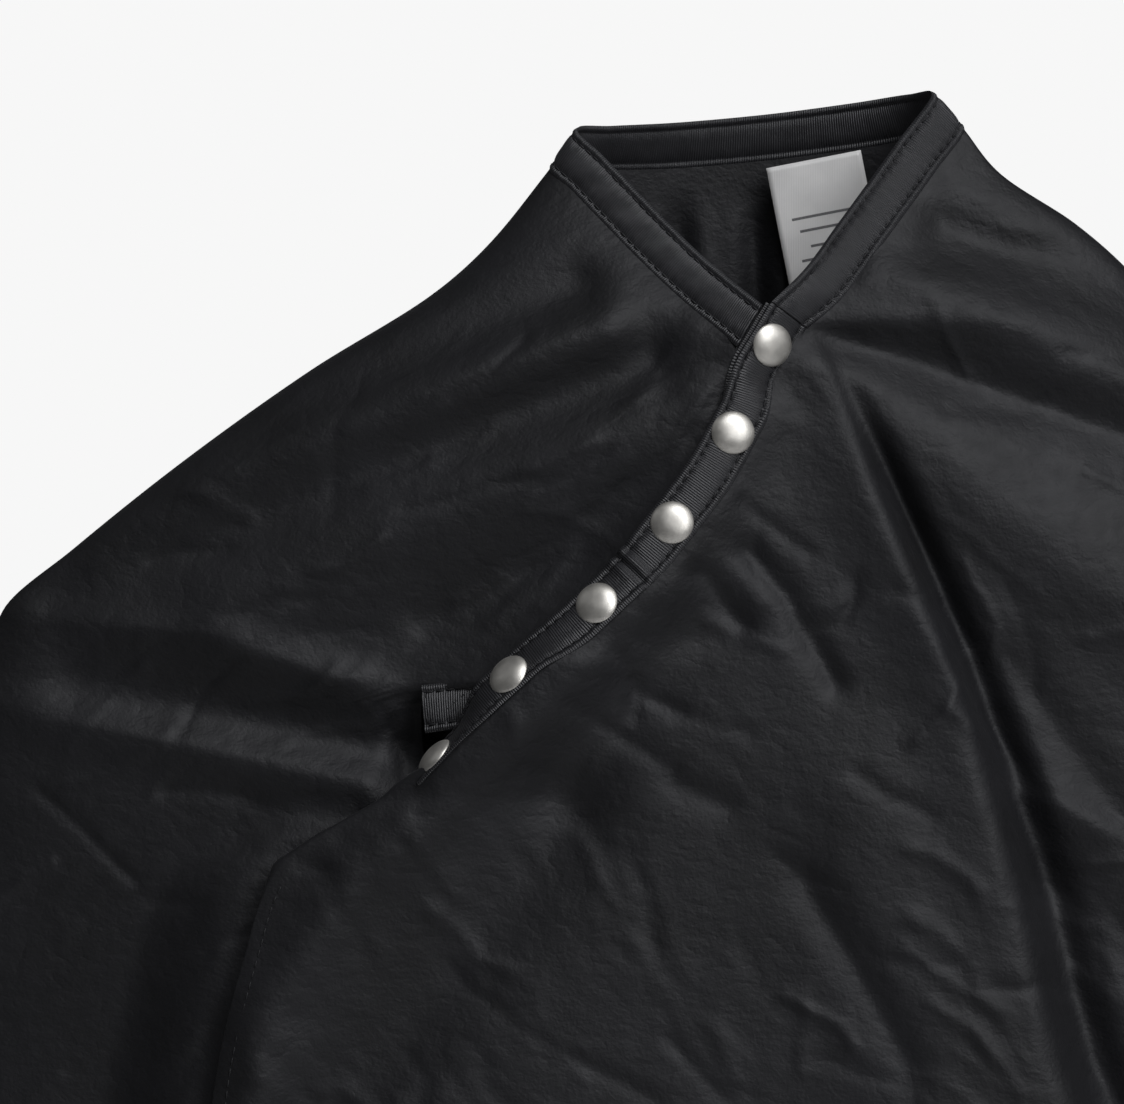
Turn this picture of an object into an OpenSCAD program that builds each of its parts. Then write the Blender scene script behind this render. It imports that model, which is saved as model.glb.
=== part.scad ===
// Barber cape, hung closed by its collar.
// A lengthwise cut of light cloth wraps from a bound neck edge. Its two upper edges lap
// in front, and a curved row of press snaps closes them below the collar.
// +Z is up and -Y is the side with the snaps. The origin is where a hanger carries the collar.

/* [Cloth] */
// Width of the collar between its two shoulder points
collar_w = 122; // [100:1:150]
// Half the width of the cape across the shoulders
shoulder_x = 260; // [220:1:320]
// Drop from the collar to the shoulder corners
shoulder_drop = 152; // [120:1:190]
// Half the width of the cape at the front hem
hem_x = 318; // [280:1:380]
// Length of the two fronts, from the collar down
front_len = 650; // [560:5:780]
// Length of the back, from the collar down to the middle of its hem
back_len = 1350; // [1100:10:1600]
// Depth of the fronts ahead of the shoulder line, at the front hem
front_depth = 86; // [70:1:110]
// Depth of the back behind the shoulder line, at the front hem
back_depth = 68; // [50:1:90]
// Thickness of the cloth
cloth_t = 0.6; // [0.4:0.1:1]

/* [Bands] */
// Width of the collar band and of both snap bands
band_w = 17; // [14:0.5:22]
// Thickness of the bands
band_t = 1; // [0.8:0.1:1.4]
// Length of band past the last snap
band_end = 10; // [8:1:14]

/* [Snaps] */
// Distance from one snap to the next
snap_pitch = 38; // [32:1:46]
// Diameter of the caps
cap_d = 15; // [12:0.5:17]
// Height of the caps' domes
cap_h = 2.4; // [1.6:0.1:3]
// Diameter of the sockets
socket_d = 11; // [9:0.5:12]
// Thickness of the sockets
socket_t = 2; // [1.8:0.1:2.6]
// Diameter of the knobs on the studs
knob_d = 4; // [3:0.1:4.6]
// Diameter of the shanks that rivet the snaps through the bands
shank_d = 3.2; // [2.4:0.1:3.4]

/* [Care label] */
// Width of the care label
label_w = 34; // [26:1:40]
// Length of the care label below its seam
label_len = 58; // [40:1:64]

/* [Hidden] */
SNAPS = 6;

CLOTH = [0.10, 0.10, 0.11];
BAND = [0.17, 0.17, 0.19];
NICKEL = [0.78, 0.76, 0.72];
LABEL = [0.93, 0.92, 0.90];

// ---- Clearances between pieces ----
seam_gap = 0.8;      // between a band's edge and the cloth that it binds
fold_gap = 0.6;      // from the flap's fold line to the cloth on each side of it
lap_gap = 9;         // from the flap in to the left front behind it
fall_back = 14;      // how far the left front falls back towards its side, and again towards its hem
side_gap = 0.9;      // from the shoulder line out to the fronts and to the back
snap_gap = 0.2;      // between a socket and the stud's flange
shank_gap = 0.1;     // between a shank and its hole

// ---- Snap sizes that follow from each other ----
plate_t = 0.5;                        // plate at the top of a socket
clinch_t = 0.25;                      // rolled end of a cap's shank
flange_t = 0.4;                       // flanges of the studs and posts
socket_floor = -band_t - socket_t;    // all heights are from the upper band's outer face
stud_seat = socket_floor - snap_gap - flange_t;
under_face = stud_seat;
post_seat = under_face - band_t;
shank_hole_r = shank_d / 2 + shank_gap;
post_r = knob_d / 2 - 0.9;
pit_r = knob_d / 2 + 1.1;             // socket's hollow, at its roof
mouth_r = pit_r + 1;                  // socket's hollow, at its mouth

// ---- Smooth curves through a few points ----
function clamp01(t) = min(1, max(0, t));
function ease(t) = let (c = clamp01(t)) c * c * (3 - 2 * c);
function unit(v) = v / norm(v);
function mix(a, b, t) = a + (b - a) * t;
function knot(p, i) = p[min(max(i, 0), len(p) - 1)];
// Catmull-Rom curve: whole numbers of t are the points of p.
function curve(p, t) =
    let (i = min(max(floor(t), 0), len(p) - 2), f = t - i,
         a = knot(p, i - 1), b = knot(p, i), c = knot(p, i + 1), d = knot(p, i + 2))
    0.5 * (2 * b + (c - a) * f + (2 * a - 5 * b + 4 * c - d) * f * f + (3 * b - a - 3 * c + d) * f * f * f);
// Value at height z from a table of [height, value], highest first.
function slope(p, i) =
    let (a = knot(p, i - 1), b = knot(p, i + 1)) (b[1] - a[1]) / (b[0] - a[0]);
function at_height(p, z, i = 0) =
    z >= p[0][0] ? p[0][1] :
    i >= len(p) - 1 ? p[len(p) - 1][1] :
    z < p[i + 1][0] ? at_height(p, z, i + 1) :
    let (h = p[i + 1][0] - p[i][0], t = (z - p[i][0]) / h)
    (1 + 2 * t) * (1 - t) * (1 - t) * p[i][1] + t * (1 - t) * (1 - t) * h * slope(p, i)
    + t * t * (3 - 2 * t) * p[i + 1][1] - t * t * (1 - t) * h * slope(p, i + 1);

// ---- Row of snaps: from the throat down to the left, each a pitch from the last ----
k = collar_w / 122;
row_turn = [24, 34, 43, 51, 42];         // lean of each step from straight down
row_share = [0.895, 1, 1, 1.025, 1.01];  // straight length of each step, as a share of the pitch
row_rise = [10, 8, 3, 0, -8];            // how far each step leans out from the cape
snap_turn = [31, 28, 38, 47, 48, 44];    // the same, for the band under each snap
snap_rise = [10, 9, 6, 1, -4, -8];
snap_face = [
    [0.60, -0.78, 0.20], [0.16, -0.97, 0.18], [-0.02, -0.97, 0.24],
    [-0.28, -0.88, 0.38], [-0.52, -0.68, 0.52], [-0.70, -0.27, 0.66]
];
throat = k * [8.5, -41, -60] + [0, -3, -21];
function lean(turn, rise) = [-sin(turn) * cos(rise), -sin(rise), -cos(turn) * cos(rise)];
function snap_at(i) = i <= 1 ? throat :
    snap_at(i - 1) + row_share[i - 2] * snap_pitch * lean(row_turn[i - 2], row_rise[i - 2]);
function snap_along(i) = unit(lean(snap_turn[i - 1], snap_rise[i - 1]));
function square(n, d) = unit(n - (n * d) * d);
function snap_out(i) = square(snap_face[i - 1], snap_along(i));
// The band lies flat for this share of a pitch on each side of a snap, and bends between them.
flat = 0.21;
function place_of(t) = min(max(round(t), 1), SNAPS);
function is_flat(t) = t < 1 || t > SNAPS || abs(t - place_of(t)) <= flat;
function bend_share(t) = (t - floor(t) - flat) / (1 - 2 * flat);
function bend_from(t) = snap_at(floor(t)) + flat * snap_pitch * snap_along(floor(t));
function bend_to(t) = snap_at(floor(t) + 1) - flat * snap_pitch * snap_along(floor(t) + 1);
// t is 1 at the first snap and SNAPS at the last.
function row_at(t) =
    is_flat(t) ? snap_at(place_of(t)) + (t - place_of(t)) * snap_pitch * snap_along(place_of(t)) :
    let (f = bend_share(t), a = bend_from(t), b = bend_to(t), reach = norm(b - a))
    (2 * f * f * f - 3 * f * f + 1) * a + (f * f * f - 2 * f * f + f) * reach * snap_along(floor(t))
    + (3 * f * f - 2 * f * f * f) * b + (f * f * f - f * f) * reach * snap_along(floor(t) + 1);
function row_along(t) = is_flat(t) ? snap_along(place_of(t)) : unit(row_at(t + 0.02) - row_at(t - 0.02));
function row_out(t) =
    is_flat(t) ? snap_out(place_of(t)) :
    square(mix(snap_out(floor(t)), snap_out(floor(t) + 1), ease(bend_share(t))), row_along(t));
function row_free(t) = cross(row_along(t), row_out(t));
// Places on the band: side is 1 at its free edge and -1 at the edge that the flap hangs from.
function row_edge(t, side, gap = 0, drop = 0) =
    row_at(t) + side * (band_w / 2 + gap) * row_free(t) + drop * row_out(t);
row_from = 1 - (cap_d / 2 + 4.5) / snap_pitch;
row_to = SNAPS + band_end / snap_pitch;
// The under band's loose end leaves the row after the last closed snap and lies out over the left front.
under_to = 5.2;
tab_root = row_at(under_to) + under_face * row_out(under_to);
tab_back = band_w / 17;    // a wider tab swings further back, clear of the upper band
tab = [tab_root, tab_root + [-9.5, 9.5 * tab_back, -2.4], tab_root + [-26, 14.3 * tab_back, -4.6]];
tab_face = [unit([-0.42, -0.84, 0.30]), unit([-0.25, -0.95, 0.15])];
// The tab lies flat from stud_from to its middle, where it carries the sixth stud.
stud_from = 0.12;
stud_mid = mix(curve(tab, stud_from), tab[1], 0.54);
stud_along = unit(tab[1] - curve(tab, stud_from));
function tab_along(t) = t <= 1 ? stud_along : unit(curve(tab, t + 0.05) - curve(tab, t - 0.05));
function tab_out(t) = square(mix(tab_face[0], tab_face[1], max(0, t - 1)), tab_along(t));

// ---- Collar: the free edge of its band, and the way that the band runs from that edge ----
// The loop goes from the throat up the right, round the back and down the left.
collar_start = row_from - 0.4 / snap_pitch;
collar_edge = concat([row_edge(collar_start, 1)], k * [
    [20.5, -35, -53.5], [31.5, -25, -38], [43, -16, -22], [54.5, -8, -6],
    [66, 0, 10], [58, 14, 11], [38, 23, 8.5], [9, 27, 5], [-22, 25, 2], [-46, 15, 0],
    [-59, 1, -2], [-50, -7, -12], [-38.5, -14, -24.5], [-26, -22, -38], [-12, -31, -52]
], [row_edge(row_from + 0.04, 1, 1.2, under_face)]);
collar_across = [
    -row_free(collar_start), [0.80, 0.06, -0.60], [0.83, -0.12, -0.56], [0.82, -0.10, -0.56],
    [0.78, -0.08, -0.63], [0.68, 0, -0.74], [0.40, 0.22, -0.89], [0.14, 0.18, -0.97],
    [0, 0.15, -0.99], [-0.10, 0.17, -0.98], [-0.30, 0.22, -0.92], [-0.56, 0, -0.83],
    [-0.62, -0.08, -0.78], [-0.68, -0.10, -0.73], [-0.69, -0.11, -0.71], [-0.62, -0.10, -0.78],
    unit(row_edge(row_from + 0.5, 1, 1.2, under_face) - row_edge(row_from + 0.04, 1, 1.2, under_face))
];
right_point = 5;     // stations of the two shoulder points
left_point = 11;
collar_last = len(collar_edge) - 1;
function collar_at(t) = curve(collar_edge, t);
function across_at(t) = unit(curve(collar_across, t));
function seam_at(t) = collar_at(t) + (band_w + seam_gap) * across_at(t);
right_top = seam_at(right_point);
left_top = seam_at(left_point);

// ---- Outline of the hung cape, as half widths by height ----
shoulder_z = -20 - shoulder_drop;
// Where each shoulder flares, as [share of its drop, share of its width].
left_neck = [[0.18, 0.118], [0.30, 0.23]];
right_neck = [[0.10, 0.075], [0.20, 0.215], [0.30, 0.32]];
shoulder_flare = [[0.46, 0.44], [0.66, 0.668], [0.86, 0.872]];
function side_table(top, neck) = [
    [top[2], abs(top[0])],
    for (f = concat(neck, shoulder_flare))
        [mix(top[2], shoulder_z, f[0]), mix(abs(top[0]), shoulder_x, f[1])],
    [shoulder_z, shoulder_x],
    [shoulder_z - 70, mix(shoulder_x, hem_x, 0.36)],
    [shoulder_z - 220, mix(shoulder_x, hem_x, 0.62)],
    [-front_len, hem_x],
    [mix(-front_len, -back_len, 0.14), hem_x - 26],
    [mix(-front_len, -back_len, 0.36), hem_x - 54],
    [mix(-front_len, -back_len, 0.66), hem_x - 72],
    [-back_len - 70, hem_x - 80]
];
left_side = side_table(left_top, left_neck);
right_side = side_table(right_top, right_neck);
function half_width(x, z) = at_height(x < 0 ? left_side : right_side, z);
function across_share(x, z) = min(1, abs(x) / half_width(x, z));
function crown(x, z) = sqrt(max(0, 1 - pow(across_share(x, z), 2.4)));

// ---- Folds of the hung cloth: [[x, z] from, [x, z] to, half width, height forwards] ----
left_folds = [
    [[-64, -62], [-170, -104], 11, -7], [[-50, -76], [-225, -150], 12, 6],
    [[-34, -86], [-240, -166], 15, -8], [[-20, -104], [-180, -172], 18, 5],
    [[-130, -200], [-250, -176], 9, 4], [[-118, -222], [-232, -200], 12, -6],
    [[-132, -232], [-262, -208], 11, 6]
];
right_folds = [
    [[74, -38], [150, -66], 9, -7], [[50, -54], [160, -98], 11, 6],
    [[24, -74], [170, -128], 13, -8], [[40, -96], [190, -210], 22, 5],
    [[40, -100], [90, -220], 12, -7], [[90, -220], [136, -350], 15, -7], [[136, -350], [220, -600], 20, -8]
];
flap_folds = [
    [[-2, -110], [-70, -212], 14, 4], [[-70, -212], [-165, -275], 17, 8],
    [[0, -170], [-70, -250], 22, -5], [[-70, -250], [-130, -380], 26, -8],
    [[60, -250], [90, -480], 26, 7], [[-150, -400], [-160, -620], 22, 9], [[10, -400], [-10, -640], 34, -9]
];
function fold_at(f, x, z) =
    let (a = f[0], d = f[1] - f[0], p = [x, z] - a, t = (p * d) / (d * d),
         off = abs(p[0] * d[1] - p[1] * d[0]) / norm(d), past = max(0, -t, t - 1) * norm(d))
    f[3] * exp(-(off * off + past * past) / (f[2] * f[2]));
function folds_at(list, x, z) = let (all = [for (f = list) fold_at(f, x, z)]) all * [for (f = all) 1];
// Flutes that hang down from the shoulders and deepen towards the hem.
function flutes(x, z, count, start, height, turn) =
    height * ease((start - z) / 320) * sin(360 * count * x / half_width(x, z) + turn);

// ---- Depth of the fronts and of the back, at a place seen from the front ----
deep = -throat[1] / 44;    // the fronts stand out as far as the throat does
front_table = [
    [0, 8], [-20, 15], [-80, 40 * deep], [-140, 47 * deep], [-220, 53 * deep],
    [-343, front_depth - 25], [mix(-343, -front_len, 0.5), front_depth - 12], [-front_len - 20, front_depth]
];
back_table = [
    [0, 27], [-20, 30], [-100, 36], [-250, back_depth - 18], [-450, back_depth - 8],
    [-front_len, back_depth], [mix(-front_len, -back_len, 0.4), back_depth - 4],
    [-back_len - 70, back_depth - 10]
];
function front_base(x, z) = at_height(front_table, z) * crown(x, z) + side_gap;
function flap_y(x, z) =
    -front_base(x, z) - folds_at(flap_folds, x, z) - flutes(x, z, 1.6, -330, 9, 40);
function left_own_y(x, z) =
    -front_base(x, z) + lap_gap * ease((-60 - z) / 120) * crown(x, z)
    + fall_back * (
        ease((-90 - z) / 110) * across_share(x, z) + ease((-190 - z) / 190) * ease((-60 - x) / 90)
    ) * crown(x, z)
    - folds_at(left_folds, x, z) * crown(x, z) - flutes(x, z, 2.2, -250, 7, 110) * crown(x, z);
// Behind the flap the left front lies along it.
function behind_flap(x, z) = ease((-228 - z) / 45) * ease((x - at_height(flap_edge, z) + 40) / 32);
function left_y(x, z) = mix(left_own_y(x, z), flap_y(x, z) + lap_gap, behind_flap(x, z));
function right_y(x, z) =
    -front_base(x, z) + 5 * crown(x, z) - folds_at(right_folds, x, z) * crown(x, z)
    - flutes(x, z, 2.2, -300, 6, 200) * crown(x, z);
// Below the fronts the side edges hang free and swing back to the plumb line.
function back_edge(z) = 36 * ease((-front_len - z) / 260);
function back_y(x, z) =
    side_gap + back_edge(z) + (at_height(back_table, z) - back_edge(z)) * crown(x, z)
    + flutes(x, z, 2.6, -140, 8, 20) * mix(crown(x, z), 1, ease((-front_len - z) / 200));

// ---- Fold line of the flap: a straight hinge from the throat to the front hem ----
hinge_top = row_edge(row_from, -1) + [0.8, -4, 0];
hinge_dir = unit([0.331, -0.071, -1]);
function hinge_at(z) = hinge_top + hinge_dir * (z - hinge_top[2]) / hinge_dir[2];

// Free edge of the flap below its snap band: it runs on to a soft corner and hangs from there.
last_snap = snap_at(SNAPS);
corner = last_snap + [-53, 0, -38];
flap_edge = [
    [last_snap[2] - 5, last_snap[0] + 2],
    [mix(last_snap[2], corner[2], 0.5), mix(last_snap[0], corner[0], 0.48)],
    [corner[2], corner[0]], [corner[2] - 30, corner[0] - 12], [corner[2] - 80, corner[0] - 23],
    [mix(corner[2], -front_len, 0.55), corner[0] - 32], [-front_len, corner[0] - 36]
];

// How far a pull at a panel's edge reaches into the cloth; it spreads out towards the hem.
function pull_reach(z) = mix(14, 45, ease((-280 - z) / 300));

// ---- Building blocks ----
// Corner numbers of the two triangles of each cell in an n by m grid that starts at corner s.
function cells(n, m, s, flip) = [
    for (i = [0:n - 2], j = [0:m - 2])
        let (a = s + i * m + j, b = a + 1, c = b + m, d = a + m)
        each flip ? [[a, c, b], [a, d, c]] : [[a, b, c], [a, c, d]]
];
// Corner numbers round the border of that grid.
function border(n, m) = concat(
    [for (j = [0:m - 2]) j], [for (i = [0:n - 2]) i * m + m - 1],
    [for (j = [m - 1:-1:1]) (n - 1) * m + j], [for (i = [n - 1:-1:1]) i * m]
);
function grid_normal(rows, i, j) =
    let (n = len(rows) - 1, m = len(rows[0]) - 1,
         side = rows[i][min(j + 1, m)] - rows[i][max(j - 1, 0)],
         down = rows[min(i + 1, n)][j] - rows[max(i - 1, 0)][j])
    unit(cross(side, down));
// A closed sheet of cloth. The rows run down from the top, each from -X to +X.
module sheet(rows, outside = -1) {
    n = len(rows);
    m = len(rows[0]);
    face = [for (r = rows) each r];
    back = [for (i = [0:n - 1], j = [0:m - 1]) rows[i][j] - outside * cloth_t * grid_normal(rows, i, j)];
    rim = border(n, m);
    last = len(rim) - 1;
    sides = [
        for (i = [0:last])
            let (a = rim[i], b = rim[i == last ? 0 : i + 1], c = b + n * m, d = a + n * m)
            each outside < 0 ? [[a, c, b], [a, d, c]] : [[a, b, c], [a, c, d]]
    ];
    fronts = cells(n, m, 0, outside > 0);
    backs = cells(n, m, n * m, outside < 0);
    polyhedron(concat(face, back), concat(fronts, backs, sides), 8);
}
// A flat strip through a list of stations, each [free edge, seam edge, way out], on its outer face.
module strip(stations, thick) {
    n = len(stations);
    corners = [for (s = stations) each [s[0], s[1], s[1] - thick * s[2], s[0] - thick * s[2]]];
    walls = [
        for (i = [0:n - 2], j = [0:3])
            let (a = i * 4 + j, b = i * 4 + (j + 1) % 4)
            each [[a, b + 4, b], [a, a + 4, b + 4]]
    ];
    e = 4 * (n - 1);
    polyhedron(corners, concat(walls, [[0, 1, 2], [0, 2, 3], [e, e + 2, e + 1], [e, e + 3, e + 2]]), 8);
}
// Puts its children at a place, with their +Z along out and their +X along the row.
module place(at, out, along) {
    x = unit(along - (along * out) * out);
    y = cross(out, x);
    multmatrix([
        [x[0], y[0], out[0], at[0]], [x[1], y[1], out[1], at[1]], [x[2], y[2], out[2], at[2]], [0, 0, 0, 1]
    ]) children();
}
module at_row(i) place(row_at(i), row_out(i), row_along(i)) children();
module at_stud(i) {
    if (i < SNAPS) at_row(i) children();
    else place(stud_mid - under_face * tab_out(1), tab_out(1), stud_along) children();
}

// ---- Cloth ----
function steps(a, b, n) = [for (i = [0:n]) mix(a, b, i / n)];
// Stations along a snap band: the ends of each flat stretch, and several between them where it bends.
function band_stops(from, to) = [
    from,
    for (i = [1:SNAPS], f = [-flat, flat, flat + 0.1, 0.5 - 0.08, 0.5 + 0.08, 1 - flat - 0.1])
        let (t = i + f) if (t > from + 0.03 && t < to - 0.03) t,
    to
];

module back_panel() {
    rows = 54;
    columns = 26;
    color(CLOTH) sheet([
        for (i = [0:rows]) [
            for (j = [0:columns])
                let (u = 90 * (2 * j / columns - 1),
                     bend = abs(sin(u)),
                     t = pow(i / rows, 1.25),
                     c = mix(right_point, left_point, 0.5 - u / 180),
                     top = seam_at(c),
                     z = mix(top[2], -back_len - 70 * pow(bend, 3), t),
                     x = half_width(u, z) * sin(u),
                     hold = exp(-t * back_len / 45))
                [mix(x, top[0], hold), mix(back_y(x, z), top[1], hold), z]
        ]
    ], 1);
}

module left_front_panel() {
    rows = 46;
    columns = 20;
    collar_steps = 12;
    row_steps = 20;
    slit_steps = rows - collar_steps - row_steps - 2;
    tab_top = tab[2][2] + band_w / 2 - 0.2;
    slit = [
        [tab_top, tab[2][0] - 1.5], [tab_top - band_w, tab[2][0] - 1.5],
        [tab_top - 70, tab[2][0] + 4], [-front_len, tab[2][0] + 30]
    ];
    edge = concat(
        [for (t = steps(left_point + 0.25, collar_last - 0.15, collar_steps)) seam_at(t)],
        [for (t = steps(row_from + 0.62, under_to - 0.05, row_steps))
            row_edge(t, 1, seam_gap, under_face - band_t / 2)],
        [for (t = steps(0, 1, slit_steps))
            let (z = mix(tab_top, -front_len + 4, t * t * 0.6 + t * 0.4), x = at_height(slit, z))
            [x, left_y(x, z), z]]
    );
    color(CLOTH) sheet([
        for (e = edge) [
            for (j = [0:columns])
                let (s = 1 - cos(90 * j / columns), x = mix(-half_width(-1, e[2]), e[0], s),
                     pull = exp(-(e[0] - x) / 16) * (e[1] - left_y(e[0], e[2])))
                [x, left_y(x, e[2]) + pull, e[2]]
        ]
    ]);
}

module right_side_panel() {
    rows = 36;
    columns = 15;
    collar_steps = 10;
    edge = concat(
        [for (t = steps(right_point - 0.15, 0.25, collar_steps)) seam_at(t)],
        [for (t = steps(0, 1, rows - collar_steps - 1))
            hinge_at(mix(hinge_top[2] - 3, -front_len, t * t * 0.4 + t * 0.6)) + [fold_gap, 0, 0]]
    );
    color(CLOTH) sheet([
        for (e = edge) [
            for (j = [0:columns])
                let (s = sin(90 * j / columns), x = mix(e[0], half_width(1, e[2]), s),
                     pull = exp(-(x - e[0]) / pull_reach(e[2])) * (e[1] - right_y(e[0], e[2])))
                [x, right_y(x, e[2]) + pull, e[2]]
        ]
    ]);
}

module right_front_flap() {
    rows = 48;
    columns = 22;
    row_steps = 30;
    free_top = last_snap[2] - band_w / 2 - 5.5;
    edge = concat(
        [for (t = steps(row_from + 0.1, SNAPS - 0.05, row_steps)) row_edge(t, -1, seam_gap, -band_t / 2)],
        [for (t = steps(0, 1, rows - row_steps - 1))
            let (z = mix(free_top, -front_len, t * t * 0.5 + t * 0.5), x = at_height(flap_edge, z))
            [x, flap_y(x, z), z]]
    );
    color(CLOTH) sheet([
        for (e = edge)
            let (h = hinge_at(e[2]) - [fold_gap, 0, 0]) [
            for (j = [0:columns])
                let (s = j / columns, x = mix(e[0], h[0], s),
                     left_pull = exp(-(x - e[0]) / 18) * (e[1] - flap_y(e[0], e[2])),
                     right_pull = exp(-(h[0] - x) / pull_reach(e[2])) * (h[1] - flap_y(h[0], e[2])))
                [x, flap_y(x, e[2]) + left_pull * (1 - s) + right_pull * s, e[2]]
        ]
    ]);
}

// ---- Bands ----
// The collar's left end is as wide as the gap that it fills beside the row.
collar_end_w = norm(row_edge(row_from + 0.5, 1) - row_edge(row_from + 0.04, 1));
module collar_band() color(BAND) strip([
    for (t = steps(0, collar_last, 64))
        let (p = collar_at(t), w = across_at(t), d = unit(collar_at(t + 0.05) - collar_at(t - 0.05)),
             wide = t > collar_last - 0.01 ? collar_end_w : band_w)
        [p, p + wide * w, square(cross(w, d), w)]
], band_t);

module upper_snap_band() color(BAND) difference() {
    strip([for (t = band_stops(row_from, row_to)) [row_edge(t, 1), row_edge(t, -1), row_out(t)]], band_t);
    for (i = [1:SNAPS]) at_row(i) translate([0, 0, -2 * band_t])
        cylinder(h = 4 * band_t, r = shank_hole_r, $fn = 48);
}

module under_snap_band() color(BAND) difference() {
    strip(concat(
        [for (t = band_stops(row_from, under_to))
            [row_edge(t, 1, 0, under_face), row_edge(t, -1, 0, under_face), row_out(t)]],
        [for (t = concat([stud_from], steps(1, 2, 4)))
            let (half = band_w / 2 * cross(tab_along(t), tab_out(t)))
            [curve(tab, t) + half, curve(tab, t) - half, tab_out(t)]]
    ), band_t);
    for (i = [1:SNAPS]) at_stud(i) translate([0, 0, post_seat - band_t])
        cylinder(h = 3 * band_t, r = post_r + shank_gap, $fn = 48);
}

// ---- Snaps: a riveted cap and socket on the upper band, a stud and post on the under band ----
module snap_cap() color(NICKEL) {
    r = (cap_d * cap_d / 4 + cap_h * cap_h) / (2 * cap_h);
    rim_h = 0.8;
    intersection() {
        translate([0, 0, rim_h + cap_h - r]) sphere(r = r, $fn = 96);
        cylinder(h = rim_h + cap_h, r = cap_d / 2, $fn = 96);
    }
    translate([0, 0, -band_t - plate_t]) cylinder(h = band_t + plate_t + rim_h, r = shank_d / 2, $fn = 48);
    translate([0, 0, -band_t - plate_t - clinch_t]) cylinder(h = clinch_t, r = shank_d / 2 + 0.8, $fn = 48);
}

module snap_socket() color(NICKEL) difference() {
    translate([0, 0, socket_floor]) cylinder(h = socket_t, r = socket_d / 2, $fn = 64);
    translate([0, 0, socket_floor - 1]) cylinder(h = socket_t + 2, r = shank_hole_r, $fn = 48);
    translate([0, 0, socket_floor]) cylinder(h = socket_t - plate_t, r1 = mouth_r, r2 = pit_r, $fn = 48);
}

module snap_stud() color(NICKEL) {
    knob_top = -band_t - plate_t - clinch_t - snap_gap;
    difference() {
        union() {
            translate([0, 0, stud_seat]) cylinder(h = flange_t, r = socket_d / 2 - 0.5, $fn = 64);
            translate([0, 0, stud_seat + flange_t])
                cylinder(h = knob_top - stud_seat - flange_t, r1 = knob_d / 2, r2 = knob_d / 2 - 0.5, $fn = 48);
        }
        translate([0, 0, stud_seat - 1]) cylinder(h = 1 + flange_t + 0.5, r = post_r + shank_gap, $fn = 48);
    }
}

module snap_post() color(NICKEL) {
    translate([0, 0, post_seat - flange_t]) cylinder(h = flange_t, r = socket_d / 2 - 0.7, $fn = 64);
    translate([0, 0, post_seat]) cylinder(h = band_t + flange_t + 0.3, r = post_r, $fn = 48);
}

// ---- Care label, sewn in under the back of the collar ----
label_at = seam_at(mix(right_point, left_point, 0.525)) + [4, -band_t - 6.5, -1.5];
label_lean = -11;
module care_label() color(LABEL) translate(label_at) rotate([0, label_lean, 0])
    translate([0, -0.4, -label_len]) cube([label_w, 0.4, label_len]);

// ---- Assembly ----
back_panel();
left_front_panel();
right_side_panel();
right_front_flap();
collar_band();
upper_snap_band();
under_snap_band();
care_label();
for (i = [1:SNAPS]) {
    at_row(i) snap_cap();
    at_row(i) snap_socket();
    at_stud(i) snap_stud();
    at_stud(i) snap_post();
}
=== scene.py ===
"""A barber cape hung closed by its collar, built round the frame: cloth, binding, press snaps and care label.

Places and sizes inside the classes are in millimetres in the frame's own axes: +Z up, and -Y is the side with
the snaps. Meshes are made in metres.
"""

import logging
import math
from dataclasses import dataclass, field
from enum import Enum

import bmesh
import bpy
import numpy as np
from mathutils import Matrix, Vector


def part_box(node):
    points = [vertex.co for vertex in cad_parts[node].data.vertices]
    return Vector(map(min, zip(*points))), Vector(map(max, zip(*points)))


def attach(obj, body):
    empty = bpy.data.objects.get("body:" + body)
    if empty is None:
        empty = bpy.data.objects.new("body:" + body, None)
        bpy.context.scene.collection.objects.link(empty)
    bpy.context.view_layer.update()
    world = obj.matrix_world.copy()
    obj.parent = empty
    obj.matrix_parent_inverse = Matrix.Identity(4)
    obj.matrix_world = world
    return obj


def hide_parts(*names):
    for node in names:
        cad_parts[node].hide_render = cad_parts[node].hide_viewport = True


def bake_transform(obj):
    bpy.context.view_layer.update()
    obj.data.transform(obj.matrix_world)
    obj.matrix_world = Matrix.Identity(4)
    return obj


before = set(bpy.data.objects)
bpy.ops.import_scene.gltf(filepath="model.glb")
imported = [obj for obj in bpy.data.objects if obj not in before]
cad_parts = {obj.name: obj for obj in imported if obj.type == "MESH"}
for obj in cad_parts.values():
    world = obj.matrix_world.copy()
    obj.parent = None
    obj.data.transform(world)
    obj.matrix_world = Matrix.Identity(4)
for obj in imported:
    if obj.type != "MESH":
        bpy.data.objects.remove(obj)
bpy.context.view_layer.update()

LOG = logging.getLogger("barber_cape")
MM = 0.001
Array = np.ndarray

SEAM_INSET = 2.7        # from a band's edge in to its row of stitches
THREAD_SINK = 0.02      # how far the stitches sink into the cloth
HEM_INSET = 4.4         # from the flap's free edge in to its hem stitches
LATHE_SIDES = 64


# ---------------------------------------------------------------- curves and noise


def smooth(t: Array) -> Array:
    """Eases from 0 to 1 as t goes from 0 to 1."""
    c = np.clip(t, 0.0, 1.0)
    return c * c * (3.0 - 2.0 * c)


def mix(a: Array, b: Array, t: Array) -> Array:
    """The value a share t of the way from a to b."""
    return a + (b - a) * t


def unit(v: Array) -> Array:
    """v scaled to length 1."""
    return v / np.linalg.norm(v, axis=-1, keepdims=True)


def square_to(n: Array, d: Array) -> Array:
    """The part of n that is square to the unit vector d, scaled to length 1."""
    return unit(n - np.sum(n * d, axis=-1, keepdims=True) * d)


def vec(*xyz: float) -> Array:
    """A point or direction as an array."""
    return np.array(xyz, dtype=float)


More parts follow.
